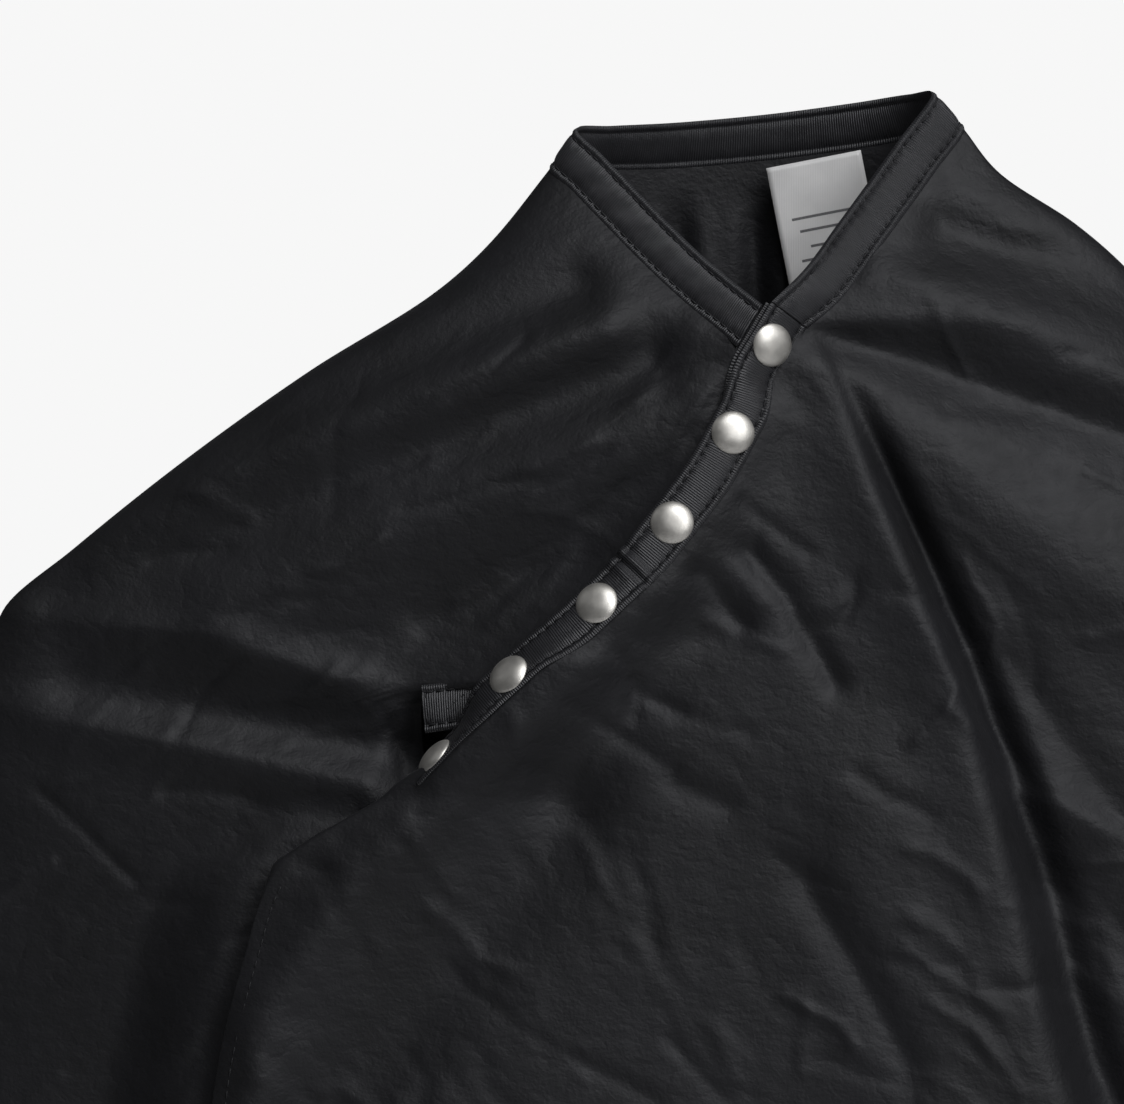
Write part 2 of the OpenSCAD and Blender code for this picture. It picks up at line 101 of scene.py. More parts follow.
class Spline:
    """A Catmull-Rom curve: whole numbers of t are its points."""

    def __init__(self, points: list) -> None:
        """Takes the points that the curve runs through."""
        self.points = np.array(points, dtype=float)

    def __call__(self, t: Array) -> Array:
        """Places on the curve.

        Args:
            t: one value or many, from 0 to the number of points less one.

        Returns:
            A point for each t, along the last axis.
        """
        t = np.asarray(t, dtype=float)
        last = len(self.points) - 1
        i = np.clip(np.floor(t).astype(int), 0, last - 1)
        f = (t - i)[..., None]
        a, b, c, d = (self.points[np.clip(i + k, 0, last)] for k in (-1, 0, 1, 2))
        return 0.5 * (
            2 * b + (c - a) * f + (2 * a - 5 * b + 4 * c - d) * f**2 + (3 * b - a - 3 * c + d) * f**3
        )


class HeightTable:
    """A smooth value by height, from rows of (height, value) with the highest first."""

    def __init__(self, rows: list) -> None:
        """Takes the rows and works out a slope at each."""
        table = np.array(rows, dtype=float)
        self.z, self.v = table[:, 0], table[:, 1]
        before = np.maximum(np.arange(len(table)) - 1, 0)
        after = np.minimum(np.arange(len(table)) + 1, len(table) - 1)
        self.slope = (self.v[after] - self.v[before]) / (self.z[after] - self.z[before])

    def __call__(self, z: Array) -> Array:
        """The value at each height z, held level past both ends."""
        z = np.clip(np.asarray(z, dtype=float), self.z[-1], self.z[0])
        i = np.clip(np.searchsorted(-self.z, -z, side="right") - 1, 0, len(self.z) - 2)
        h = self.z[i + 1] - self.z[i]
        t = (z - self.z[i]) / h
        return (
            (1 + 2 * t) * (1 - t) ** 2 * self.v[i]
            + t * (1 - t) ** 2 * h * self.slope[i]
            + t * t * (3 - 2 * t) * self.v[i + 1]
            - t * t * (1 - t) * h * self.slope[i + 1]
        )


class Crinkle:
    """The permanent crush of the nylon: seeded noise in two directions across the cloth."""

    def __init__(self, seed: int) -> None:
        """Draws the noise's slopes and order from the seed."""
        rng = np.random.default_rng(seed)
        self.order = rng.permutation(512)
        angle = rng.uniform(0.0, 2.0 * math.pi, 512)
        self.slopes = np.stack([np.cos(angle), np.sin(angle)], axis=-1)

    def noise(self, u: Array, v: Array) -> Array:
        """Gradient noise of about -0.7 to 0.7, with one lump for each whole step of u and v."""
        i, j = np.floor(u).astype(int), np.floor(v).astype(int)
        fu, fv = u - i, v - j
        total = np.zeros(np.broadcast(u, v).shape)
        for du in (0, 1):
            for dv in (0, 1):
                g = self.slopes[self.order[(self.order[(i + du) % 512] + j + dv) % 512]]
                reach = g[..., 0] * (fu - du) + g[..., 1] * (fv - dv)
                wu = smooth(1.0 - np.abs(fu - du))
                wv = smooth(1.0 - np.abs(fv - dv))
                total = total + reach * wu * wv
        return total

    def ridges(self, u: Array, v: Array) -> Array:
        """Noise folded into crisp creases, from 0 in the flats to 1 on a crease."""
        return (1.0 - np.minimum(1.0, np.abs(self.noise(u, v)) * 4.6)) ** 1.7

    def height(self, x: Array, z: Array, angle: float = 0.0, stretch: float = 1.0) -> Array:
        """Height of the crush, in millimetres.

        Args:
            x: places across the cloth.
            z: places down the cloth.
            angle: the way that most creases run, in degrees from +X towards +Z.
            stretch: how much longer the creases are than they are wide.

        Returns:
            Heights, outwards positive.
        """
        a = math.radians(angle)
        p, q = x * math.cos(a) + z * math.sin(a), z * math.cos(a) - x * math.sin(a)
        u = (p + 9.0 * self.noise(p / 47.0, q / 33.0 + 7.0)) / stretch
        v = q + 8.0 * self.noise(p / 61.0 + 31.0, q / 35.0)
        broad = 0.42 * self.noise(u / 36.0, v / 32.0) + 0.10 * self.noise(u / 15.0 + 5.0, v / 14.0)
        where = smooth(0.45 + 1.8 * self.noise(p / 60.0 + 3.0, q / 44.0 + 11.0))
        crisp = 0.34 * self.ridges(u / 31.0 + 17.0, v / 19.0) - 0.32 * self.ridges(u / 27.0, v / 21.0 + 13.0)
        fine = 0.15 * self.ridges(u / 14.0 + 2.0, v / 8.0 + 19.0) - 0.13 * self.ridges(u / 12.0, v / 8.0)
        return broad + where * crisp + mix(0.40, 1.0, where) * fine

    def creases(self, x: Array, z: Array, box: tuple, angle: float, count: int, seed: int) -> Array:
        """Heights of single pressed creases scattered over a box.

        Args:
            x: places across the cloth.
            z: places down the cloth.
            box: (left, right, bottom, top) that the creases start in.
            angle: the way that most of them run, in degrees from +X towards +Z.
            count: how many there are.
            seed: for where they fall.

        Returns:
            Heights, outwards positive.
        """
        rng = np.random.default_rng(seed)
        total = np.zeros(np.broadcast(x, z).shape)
        for _ in range(count):
            at = np.array([rng.uniform(box[0], box[1]), rng.uniform(box[2], box[3])])
            turn = math.radians(angle + rng.normal(0.0, 26.0))
            points = [tuple(at)]
            for _ in range(3):
                at = at + rng.uniform(5.0, 17.0) * np.array([math.cos(turn), math.sin(turn)])
                turn += rng.normal(0.0, 0.30)
                points.append(tuple(at))
            size = rng.choice([-1.0, 1.0]) * rng.uniform(0.5, 1.5)
            crease = Fold(tuple(points), rng.uniform(1.9, 3.8), size, 0.7)
            total += crease.near(x, z)
        return total


# ---------------------------------------------------------------- how the cape hangs


@dataclass(frozen=True)
class Fold:
    """A ridge or valley in the hung cloth, along a line of (x, z) points.

    Args:
        line: the points that the fold runs through, seen from the front.
        width: half its width.
        height: its height towards the front; a valley is negative.
        crisp: 0 for a rounded fold, 1 for a creased one.
    """

    line: tuple
    width: float
    height: float
    crisp: float = 0.0

    def at(self, x: Array, z: Array) -> Array:
        """Height of the fold at places (x, z)."""
        best = np.full(np.broadcast(x, z).shape, 1e9)
        for (ax, az), (bx, bz) in zip(self.line[:-1], self.line[1:]):
            dx, dz = bx - ax, bz - az
            t = np.clip(((x - ax) * dx + (z - az) * dz) / (dx * dx + dz * dz), 0.0, 1.0)
            best = np.minimum(best, np.hypot(x - ax - t * dx, z - az - t * dz))
        round_part = np.exp(-((best / self.width) ** 2))
        sharp_part = np.exp(-1.6 * best / self.width)
        return self.height * mix(round_part, sharp_part, self.crisp)

    def near(self, x: Array, z: Array) -> Array:
        """Height of a short fold, worked out only in the rows and columns that it reaches."""
        total = np.zeros(np.broadcast(x, z).shape)
        px, pz = [p[0] for p in self.line], [p[1] for p in self.line]
        reach = 4.0 * self.width
        inside = (
            (x > min(px) - reach) & (x < max(px) + reach) & (z > min(pz) - reach) & (z < max(pz) + reach)
        )
        xs, zs = np.broadcast_to(x, total.shape)[inside], np.broadcast_to(z, total.shape)[inside]
        total[inside] = self.at(xs, zs)
        return total


def folds_at(folds: tuple, x: Array, z: Array) -> Array:
    """The heights of several folds together."""
    return sum(f.at(x, z) for f in folds)


LEFT_FOLDS = (
    Fold(((-60, -60), (-120, -84), (-170, -104)), 11, -7),
    Fold(((-50, -76), (-174, -128), (-225, -153)), 12, 6),
    Fold(((-34, -86), (-133, -120), (-241, -166)), 13, -9),
    Fold(((-20, -102), (-91, -134), (-178, -173)), 16, 6),
    Fold(((-130, -200), (-188, -181), (-252, -173)), 8, 5, 0.3),
    Fold(((-118, -222), (-232, -198)), 12, -6),
    Fold(((-132, -232), (-202, -217), (-262, -205)), 9, 6, 0.2),
    Fold(((-20, -118), (-60, -150), (-110, -176)), 8, -3),
)
RIGHT_FOLDS = (
    Fold(((70, -38), (130, -59), (160, -72)), 9, -6),
    Fold(((46, -52), (130, -87), (165, -100)), 11, 6),
    Fold(((22, -74), (61, -87), (130, -111), (170, -128)), 10, -8, 0.2),
    Fold(((40, -100), (90, -140), (190, -200)), 20, 6),
    Fold(((90, -190), (140, -260)), 9, -3, 0.3),
    Fold(((100, -236), (150, -262)), 7, 3, 0.3),
    Fold(((108, -262), (170, -330)), 12, -4),
)
FLAP_FOLDS = (
    Fold(((4, -104), (-28, -160), (-80, -216), (-135, -264), (-165, -308), (-178, -400)), 12, 6),
    Fold(((-14, -180), (-64, -232)), 13, -4),
    Fold(((-62, -246), (-100, -294), (-150, -356)), 17, -6),
    Fold(((-16, -160), (-2, -178)), 5, -3.2, 0.4),
    Fold(((0, -152), (12, -166), (30, -198)), 5, -3.6, 0.5),
    Fold(((19, -267), (36, -294), (55, -330)), 7, -3, 0.4),
    Fold(((-26, -232), (-8, -240)), 5, -1.8, 0.4),
    Fold(((40, -240), (90, -480)), 26, 5),
    Fold(((-150, -400), (-160, -620)), 22, 8),
    Fold(((10, -400), (-10, -640)), 34, -8),
)


@dataclass
class Hang:
    """The sizes of the hung cape, and the surfaces that its cloth takes."""

    shoulder_x: float = 260.0
    shoulder_drop: float = 152.0
    hem_x: float = 318.0
    front_len: float = 650.0
    back_len: float = 1350.0
    front_depth: float = 86.0
    back_depth: float = 68.0
    band_w: float = 17.0
    band_t: float = 1.0
    tuck: float = 1.6
    lap_gap: float = 9.0
    fall_back: float = 14.0
    snaps: int = 6
    snap_pitch: float = 38.0
    under_face: float = -3.6
    flat: float = 0.21
    row_turn: tuple = (24, 34, 43, 51, 42)
    row_share: tuple = (0.895, 1.0, 1.0, 1.025, 1.01)
    row_rise: tuple = (10, 8, 3, 0, -8)
    snap_turn: tuple = (31, 28, 38, 47, 48, 44)
    snap_rise: tuple = (10, 9, 6, 1, -4, -8)
    snap_face: tuple = (
        (0.60, -0.78, 0.20), (0.16, -0.97, 0.18), (-0.02, -0.97, 0.24),
        (-0.28, -0.88, 0.38), (-0.52, -0.68, 0.52), (-0.70, -0.27, 0.66),
    )
    row_from: float = field(init=False)
    row_to: float = field(init=False)
    under_to: float = field(init=False, default=5.2)

    def __post_init__(self) -> None:
        """Works out the collar, the row of snaps and the outline from the sizes."""
        self.throat = vec(8.5, -44.0, -81.0)
        self.row_from = 1.0 - 12.0 / self.snap_pitch
        self.row_to = self.snaps + 10.0 / self.snap_pitch
        start = self.row_from - 0.4 / self.snap_pitch
        end = self.row_edge(self.row_from + 0.04, 1, 1.2, self.under_face)
        end_seam = self.row_edge(self.row_from + 0.5, 1, 1.2, self.under_face)
        self.collar_edge = Spline([
            self.row_edge(start, 1), (20.5, -35, -53.5), (31.5, -25, -38), (43, -16, -22), (54.5, -8, -6),
            (66, 0, 10), (58, 14, 11), (38, 23, 8.5), (9, 27, 5), (-22, 25, 2), (-46, 15, 0),
            (-59, 1, -2), (-50, -7, -12), (-38.5, -14, -24.5), (-26, -22, -38), (-12, -31, -52), end,
        ])
        self.collar_across = Spline([
            -self.row_free(start), (0.80, 0.06, -0.60), (0.83, -0.12, -0.56), (0.82, -0.10, -0.56),
            (0.78, -0.08, -0.63), (0.68, 0, -0.74), (0.40, 0.22, -0.89), (0.14, 0.18, -0.97),
            (0, 0.15, -0.99), (-0.10, 0.17, -0.98), (-0.30, 0.22, -0.92), (-0.56, 0, -0.83),
            (-0.62, -0.08, -0.78), (-0.68, -0.10, -0.73), (-0.69, -0.11, -0.71), (-0.62, -0.10, -0.78),
            unit(end_seam - end),
        ])
        self.collar_last = 16
        self.right_point, self.left_point = 5, 11
        self.end_width = float(np.linalg.norm(end_seam - end))
        left_neck = ((0.18, 0.118), (0.30, 0.23))
        right_neck = ((0.10, 0.075), (0.20, 0.215), (0.30, 0.32))
        self.left_side = HeightTable(self.side_rows(self.seam_at(self.left_point), left_neck))
        self.right_side = HeightTable(self.side_rows(self.seam_at(self.right_point), right_neck))
        low = -self.front_len
        self.front_table = HeightTable([
            (0, 8), (-20, 15), (-80, 40), (-140, 47), (-220, 53), (-343, self.front_depth - 25),
            (mix(-343, low, 0.5), self.front_depth - 12), (low - 20, self.front_depth),
        ])
        self.back_table = HeightTable([
            (0, 27), (-20, 30), (-100, 36), (-250, self.back_depth - 18), (-450, self.back_depth - 8),
            (low, self.back_depth), (mix(low, -self.back_len, 0.4), self.back_depth - 4),
            (-self.back_len - 70, self.back_depth - 10),
        ])
        last = self.snap_at(self.snaps)
        self.corner = last + vec(-53, 0, -38)
        self.flap_edge = HeightTable([
            (last[2] - 5, last[0] + 2),
            (mix(last[2], self.corner[2], 0.5), mix(last[0], self.corner[0], 0.48)),
            (self.corner[2], self.corner[0]), (self.corner[2] - 30, self.corner[0] - 12),
            (self.corner[2] - 80, self.corner[0] - 23),
            (mix(self.corner[2], low, 0.55), self.corner[0] - 32), (low, self.corner[0] - 36),
        ])
        self.hinge_top = self.row_edge(self.row_from, -1) + vec(0.8, -4, 0)
        self.hinge_dir = unit(vec(0.331, -0.071, -1))

    # -- the outline

    def side_rows(self, top: Array, neck: tuple) -> list:
        """Rows of (height, half width) for a side of the cape.

        Args:
            top: the shoulder point that the side falls from.
            neck: (share of the drop, share of the width) where the neck flares into the shoulder.

        Returns:
            Rows for a height table.
        """
        z, x, low = top[2], abs(top[0]), -self.front_len
        sh = -20 - self.shoulder_drop
        flare = (*neck, (0.46, 0.44), (0.66, 0.668), (0.86, 0.872))
        return [
            (z, x), *((mix(z, sh, a), mix(x, self.shoulder_x, b)) for a, b in flare),
            (sh, self.shoulder_x), (sh - 70, mix(self.shoulder_x, self.hem_x, 0.36)),
            (sh - 220, mix(self.shoulder_x, self.hem_x, 0.62)), (low, self.hem_x),
            (mix(low, -self.back_len, 0.14), self.hem_x - 26),
            (mix(low, -self.back_len, 0.36), self.hem_x - 54),
            (mix(low, -self.back_len, 0.66), self.hem_x - 72), (-self.back_len - 70, self.hem_x - 80),
        ]

    def half_width(self, x: Array, z: Array) -> Array:
        """Half the width of the cape at height z, on the side that x is on."""
        return np.where(np.asarray(x) < 0, self.left_side(z), self.right_side(z))

    def crown(self, x: Array, z: Array) -> Array:
        """1 in the middle of the cape and 0 at its side folds."""
        share = np.minimum(1.0, np.abs(x) / self.half_width(x, z))
        return np.sqrt(np.maximum(0.0, 1.0 - share**2.4))

    # -- the collar

    def collar_at(self, t: Array) -> Array:
        """Places on the collar's free edge."""
        return self.collar_edge(t)

    def across_at(self, t: Array) -> Array:
        """The way across the collar band, from its free edge to its seam."""
        return unit(self.collar_across(t))

    def collar_out(self, t: Array) -> Array:
        """The way out of the collar band."""
        ahead, behind = np.minimum(np.add(t, 0.05), self.collar_last), np.maximum(np.subtract(t, 0.05), 0)
        across = self.across_at(t)
        return square_to(np.cross(across, unit(self.collar_at(ahead) - self.collar_at(behind))), across)

    def seam_at(self, t: Array) -> Array:
        """Where the cloth's edge is caught inside the collar band."""
        seam = self.collar_at(t) + (self.band_w - self.tuck) * self.across_at(t)
        return seam - self.band_t / 2 * self.collar_out(t)

    # -- the row of snaps

    @staticmethod
    def lean(turn: float, rise: float) -> Array:
        """A downward direction that turns to the left and rises out of the cape, by degrees."""
        a, b = math.radians(turn), math.radians(rise)
        return vec(-math.sin(a) * math.cos(b), -math.sin(b), -math.cos(a) * math.cos(b))

    def snap_at(self, i: int) -> Array:
        """The centre of snap i, on the upper band's outer face."""
        steps = (self.row_share[k] * self.lean(self.row_turn[k], self.row_rise[k]) for k in range(i - 1))
        return self.throat + self.snap_pitch * sum(steps, vec(0, 0, 0))

    def snap_along(self, i: int) -> Array:
        """The way along the band at snap i."""
        return unit(self.lean(self.snap_turn[i - 1], self.snap_rise[i - 1]))

    def snap_out(self, i: int) -> Array:
        """The way out of the band at snap i."""
        return square_to(vec(*self.snap_face[i - 1]), self.snap_along(i))

    def place_of(self, t: float) -> int:
        """The snap nearest to t."""
        return int(min(max(math.floor(t + 0.5), 1), self.snaps))

    def is_flat(self, t: float) -> bool:
        """True where the band lies flat, round a snap and past the ends of the row."""
        return t < 1 or t > self.snaps or abs(t - self.place_of(t)) <= self.flat

    def row_at(self, t: float) -> Array:
        """The middle of the upper band's outer face; t is 1 at the first snap."""
        if self.is_flat(t):
            i = self.place_of(t)
            return self.snap_at(i) + (t - i) * self.snap_pitch * self.snap_along(i)
        i = int(math.floor(t))
        f = (t - i - self.flat) / (1 - 2 * self.flat)
        a = self.snap_at(i) + self.flat * self.snap_pitch * self.snap_along(i)
        b = self.snap_at(i + 1) - self.flat * self.snap_pitch * self.snap_along(i + 1)
        reach = np.linalg.norm(b - a)
        return (
            (2 * f**3 - 3 * f * f + 1) * a + (f**3 - 2 * f * f + f) * reach * self.snap_along(i)
            + (3 * f * f - 2 * f**3) * b + (f**3 - f * f) * reach * self.snap_along(i + 1)
        )

    def row_along(self, t: float) -> Array:
        """The way along the upper band."""
        if self.is_flat(t):
            return self.snap_along(self.place_of(t))
        return unit(self.row_at(t + 0.02) - self.row_at(t - 0.02))

    def row_out(self, t: float) -> Array:
        """The way out of the upper band."""
        if self.is_flat(t):
            return self.snap_out(self.place_of(t))
        i = int(math.floor(t))
        f = smooth((t - i - self.flat) / (1 - 2 * self.flat))
        return square_to(mix(self.snap_out(i), self.snap_out(i + 1), f), self.row_along(t))

    def row_free(self, t: float) -> Array:
        """The way across the upper band, towards its free edge."""
        return np.cross(self.row_along(t), self.row_out(t))

    def row_edge(self, t: float, side: int, gap: float = 0.0, drop: float = 0.0) -> Array:
        """A place on an edge of the band: side 1 is the free edge and -1 the flap's."""
        return self.row_at(t) + side * (self.band_w / 2 + gap) * self.row_free(t) + drop * self.row_out(t)

    # -- the cloth

    def hinge_at(self, z: Array) -> Array:
        """Places on the straight line that the flap turns about, by height."""
        z = np.asarray(z, dtype=float)
        return self.hinge_top + self.hinge_dir * ((z - self.hinge_top[2]) / self.hinge_dir[2])[..., None]

    def flutes(self, x: Array, z: Array, count: float, start: float, height: float, turn: float) -> Array:
        """Soft pleats that hang from the shoulders and deepen towards the hem."""
        phase = 2 * math.pi * count * x / self.half_width(x, z) + math.radians(turn)
        return height * smooth((start - z) / 320) * np.sin(phase)

    def front_base(self, x: Array, z: Array) -> Array:
        """How far the fronts stand ahead of the shoulder line."""
        return self.front_table(z) * self.crown(x, z)

    def flap_y(self, x: Array, z: Array) -> Array:
        """Depth of the flap."""
        return -self.front_base(x, z) - folds_at(FLAP_FOLDS, x, z) - self.flutes(x, z, 1.6, -330, 9, 40)

    def left_y(self, x: Array, z: Array) -> Array:
        """Depth of the left front, which lies along the flap where it is behind it."""
        crown = self.crown(x, z)
        own = (
            -self.front_base(x, z) + self.lap_gap * smooth((-60 - z) / 120) * crown
            + self.fall_back * smooth((-90 - z) / 110) * np.abs(x) / self.half_width(x, z) * crown
            + self.fall_back * smooth((-190 - z) / 190) * smooth((-60 - x) / 90) * crown
            - folds_at(LEFT_FOLDS, x, z) * crown - self.flutes(x, z, 2.2, -250, 7, 110) * crown
        )
        behind = smooth((-228 - z) / 45) * smooth((x - self.flap_edge(z) + 40) / 32)
        return mix(own, self.flap_y(x, z) + self.lap_gap, behind)

    def right_y(self, x: Array, z: Array) -> Array:
        """Depth of the right front beyond the flap's fold."""
        crown = self.crown(x, z)
        return (
            -self.front_base(x, z) + 5 * crown - folds_at(RIGHT_FOLDS, x, z) * crown
            - self.flutes(x, z, 2.2, -300, 6, 200) * crown
        )

    def back_y(self, x: Array, z: Array) -> Array:
        """Depth of the back."""
        edge = 36 * smooth((-self.front_len - z) / 260)
        crown = self.crown(x, z)
        hang = self.flutes(x, z, 2.6, -140, 8, 20) * mix(crown, 1.0, smooth((-self.front_len - z) / 200))
        return edge + (self.back_table(z) - edge) * crown + hang


HANG = Hang()
CRUSH = Crinkle(seed=11)


# ---------------------------------------------------------------- finishes


class Tree:
    """A material's node tree, built a node at a time."""

    def __init__(self, name: str) -> None:
        """Starts a material with its shader alone."""
        self.material = bpy.data.materials.new(name)
        self.material.use_nodes = True
        self.nodes = self.material.node_tree.nodes
        self.links = self.material.node_tree.links
        self.shader = self.nodes["Principled BSDF"]

    def add(self, kind: str, inputs: dict | None = None, **settings: object) -> bpy.types.Node:
        """Adds a node.

        Args:
            kind: the node's type.
            inputs: input name or number to a socket to link, or a value to set.
            settings: the node's own settings.

        Returns:
            The new node.
        """
        node = self.nodes.new(kind)
        for key, value in settings.items():
            setattr(node, key, value)
        for key, value in (inputs or {}).items():
            self.put(node.inputs[key], value)
        return node

    def put(self, socket: bpy.types.NodeSocket, value: object) -> None:
        """Links a socket to another, or sets its value."""
        if isinstance(value, bpy.types.NodeSocket):
            self.links.new(value, socket)
        else:
            socket.default_value = value

    def shade(self, **inputs: object) -> None:
        """Sets the shader's own sockets, by name with spaces as underscores."""
        for key, value in inputs.items():
            self.put(self.shader.inputs[key.replace("_", " ")], value)

    def math(self, operation: str, a: object, b: object = 0.0) -> bpy.types.NodeSocket:
        """One arithmetic step."""
        return self.add("ShaderNodeMath", {0: a, 1: b}, operation=operation).outputs[0]

    def noise(self, where: bpy.types.NodeSocket, scale: float, detail: float = 3.0) -> bpy.types.NodeSocket:
        """A noise texture's height."""
        node = self.add("ShaderNodeTexNoise", {"Vector": where, "Scale": scale, "Detail": detail})
        return node.outputs["Fac"]

    def ramp(self, value: bpy.types.NodeSocket, stops: list) -> bpy.types.NodeSocket:
        """A colour ramp through (position, colour) stops."""
        node = self.add("ShaderNodeValToRGB", {"Fac": value})
        ramp = node.color_ramp
        while len(ramp.elements) < len(stops):
            ramp.elements.new(0.5)
        for element, (position, colour) in zip(ramp.elements, stops):
            element.position = position
            element.color = (*colour, 1.0)
        return node.outputs["Color"]

    def creases(self, where: bpy.types.NodeSocket, scale: float, detail: float, sharp: float) -> object:
        """Noise folded into thin creases, from 0 on a crease up to 1."""
        centred = self.math("SUBTRACT", self.noise(where, scale, detail), 0.5)
        wide = self.math("MULTIPLY", centred, 2.0 * sharp)
        return self.math("MINIMUM", self.math("ABSOLUTE", wide), 1.0)

    def scaled(self, value: object, low: float, span: float) -> bpy.types.NodeSocket:
        """A value from 0 to 1 carried to low and low + span."""
        return self.math("ADD", self.math("MULTIPLY", value, span), low)

    def bump(self, height: object, strength: float, distance: float, under: object = None) -> object:
        """A bump on top of another."""
        inputs = {"Height": height, "Strength": strength, "Distance": distance}
        if under is not None:
            inputs["Normal"] = under
        return self.add("ShaderNodeBump", inputs).outputs["Normal"]


@dataclass(frozen=True)
class CapeNylon:
    """Crushed black nylon with a fine plain weave."""

    dark: tuple = (0.0048, 0.0048, 0.0058)
    light: tuple = (0.0104, 0.0104, 0.0126)
    grain: float = 0.0011

    def make(self) -> bpy.types.Material:
        """Builds the material."""
        t = Tree("crushed_nylon")
        at = t.add("ShaderNodeTexCoord").outputs["Object"]
        cloud = t.noise(at, 26.0, 5.0)
        turned = {"Vector": at, "Rotation": (0.0, 0.55, 0.0), "Scale": (0.8, 1.0, 1.1)}
        slant = t.add("ShaderNodeMapping", turned).outputs["Vector"]
        creases = t.creases(slant, 88.0, 4.5, 4.4)
        wrinkles = t.creases(slant, 215.0, 3.0, 3.4)
        grain = t.noise(at, 1.0 / self.grain, 1.5)
        t.shade(
            Base_Color=t.ramp(cloud, [(0.3, self.dark), (0.72, self.light)]),
            Roughness=t.scaled(t.noise(at, 150.0, 6.0), 0.53, 0.16),
            Specular_IOR_Level=0.50,
            Sheen_Weight=0.05,
            Sheen_Roughness=0.35,
        )
        normal = t.bump(creases, 0.30, 0.00045)
        normal = t.bump(wrinkles, 0.22, 0.00018, normal)
        t.shade(Normal=t.bump(grain, 0.50, 0.00026, normal))
        return t.material


@dataclass(frozen=True)
class Binding:
    """Charcoal ribbed binding tape, with ribs across its width; its colour is lighter on the rib crests, a
    painted sheen, and darker between them, painted shade.
    """

    colour: tuple = (0.0110, 0.0110, 0.0126)
    # painted sheen: the colour of the rib crests, lighter than the tape's own colour
    rib_crest_sheen: tuple = (0.0270, 0.0270, 0.0305)
    rib: float = 0.00085

    def make(self) -> bpy.types.Material:
        """Builds the material. The first UV runs along the tape and the second across it, in metres."""
        t = Tree("ribbed_binding")
        uv = t.add("ShaderNodeTexCoord").outputs["UV"]
        at = t.add("ShaderNodeTexCoord").outputs["Object"]
        ribs = t.add(
            "ShaderNodeTexWave", {"Vector": uv, "Scale": 0.314 / self.rib, "Distortion": 0.6, "Detail": 1.0},
            bands_direction="X", wave_profile="SIN",
        ).outputs["Fac"]
        cloud = t.noise(at, 120.0, 4.0)
        t.shade(
            # painted sheen and shade: lighter on the rib crests and darker between the ribs, times random
            # tone from the noise
            Base_Color=t.ramp(t.math("MULTIPLY", ribs, cloud), [(0.05, self.colour), (0.6, self.rib_crest_sheen)]),
            Roughness=t.scaled(cloud, 0.36, 0.16),
            Specular_IOR_Level=0.62,
            Sheen_Weight=0.04,
            Sheen_Roughness=0.4,
        )
        normal = t.bump(ribs, 0.6, 0.00030)
        t.shade(Normal=t.bump(cloud, 0.45, 0.0009, normal))
        return t.material


@dataclass(frozen=True)
class Nickel:
    """Satin nickel plate."""

    name: str = "satin_nickel"
    colour: tuple = (0.93, 0.90, 0.83)
    roughness: float = 0.40

    def make(self) -> bpy.types.Material:
        """Builds the material."""
        t = Tree(self.name)
        at = t.add("ShaderNodeTexCoord").outputs["Object"]
        grain = t.noise(at, 2600.0, 2.0)
        tarnish = t.noise(at, 210.0, 3.0)
        rim = tuple(c * 0.82 for c in self.colour)
        t.shade(
            Base_Color=t.ramp(tarnish, [(0.35, rim), (0.62, self.colour)]),
            Metallic=0.92,
            Roughness=t.scaled(tarnish, self.roughness, 0.12),
        )
        t.shade(Normal=t.bump(grain, 0.06, 0.0002))
        return t.material


@dataclass(frozen=True)
class Satin:
    """White satin label tape."""

    colour: tuple = (0.76, 0.75, 0.73)

    def make(self) -> bpy.types.Material:
        """Builds the material."""
        t = Tree("label_satin")
        at = t.add("ShaderNodeTexCoord").outputs["Object"]
        weave = t.add("ShaderNodeTexWave", {"Vector": at, "Scale": 520.0}, bands_direction="X").outputs["Fac"]
        cloud = t.noise(at, 90.0, 3.0)
        pale = tuple(min(1.0, c * 1.12) for c in self.colour)
        t.shade(
            Base_Color=t.ramp(cloud, [(0.3, self.colour), (0.7, pale)]),
            Roughness=0.38,
            Sheen_Weight=0.2,
            Normal=t.bump(weave, 0.15, 0.0002),
        )
        return t.material


@dataclass(frozen=True)
class Thread:
    """Twisted sewing thread or printing ink, by colour."""

    name: str = "black_thread"
    colour: tuple = (0.006, 0.006, 0.007)

    def make(self) -> bpy.types.Material:
        """Builds the material."""
        t = Tree(self.name)
        at = t.add("ShaderNodeTexCoord").outputs["Object"]
        twist = t.noise(at, 2400.0, 2.0)
        pale = tuple(c * 1.7 for c in self.colour)
        t.shade(
            Base_Color=t.ramp(twist, [(0.35, self.colour), (0.7, pale)]),
            Roughness=0.6,
            Normal=t.bump(twist, 0.3, 0.0002),
        )
        return t.material


class Finish(Enum):
    """Every finish on the cape, named after its record slot unless it shares another's."""

    CLOTH = "cape_cloth"
    BAND = "band_twill"
    CAP = "cap_nickel"
    SNAP = "snap_nickel"
    LABEL = "label_satin"
    THREAD = "thread"
    INK = "ink"


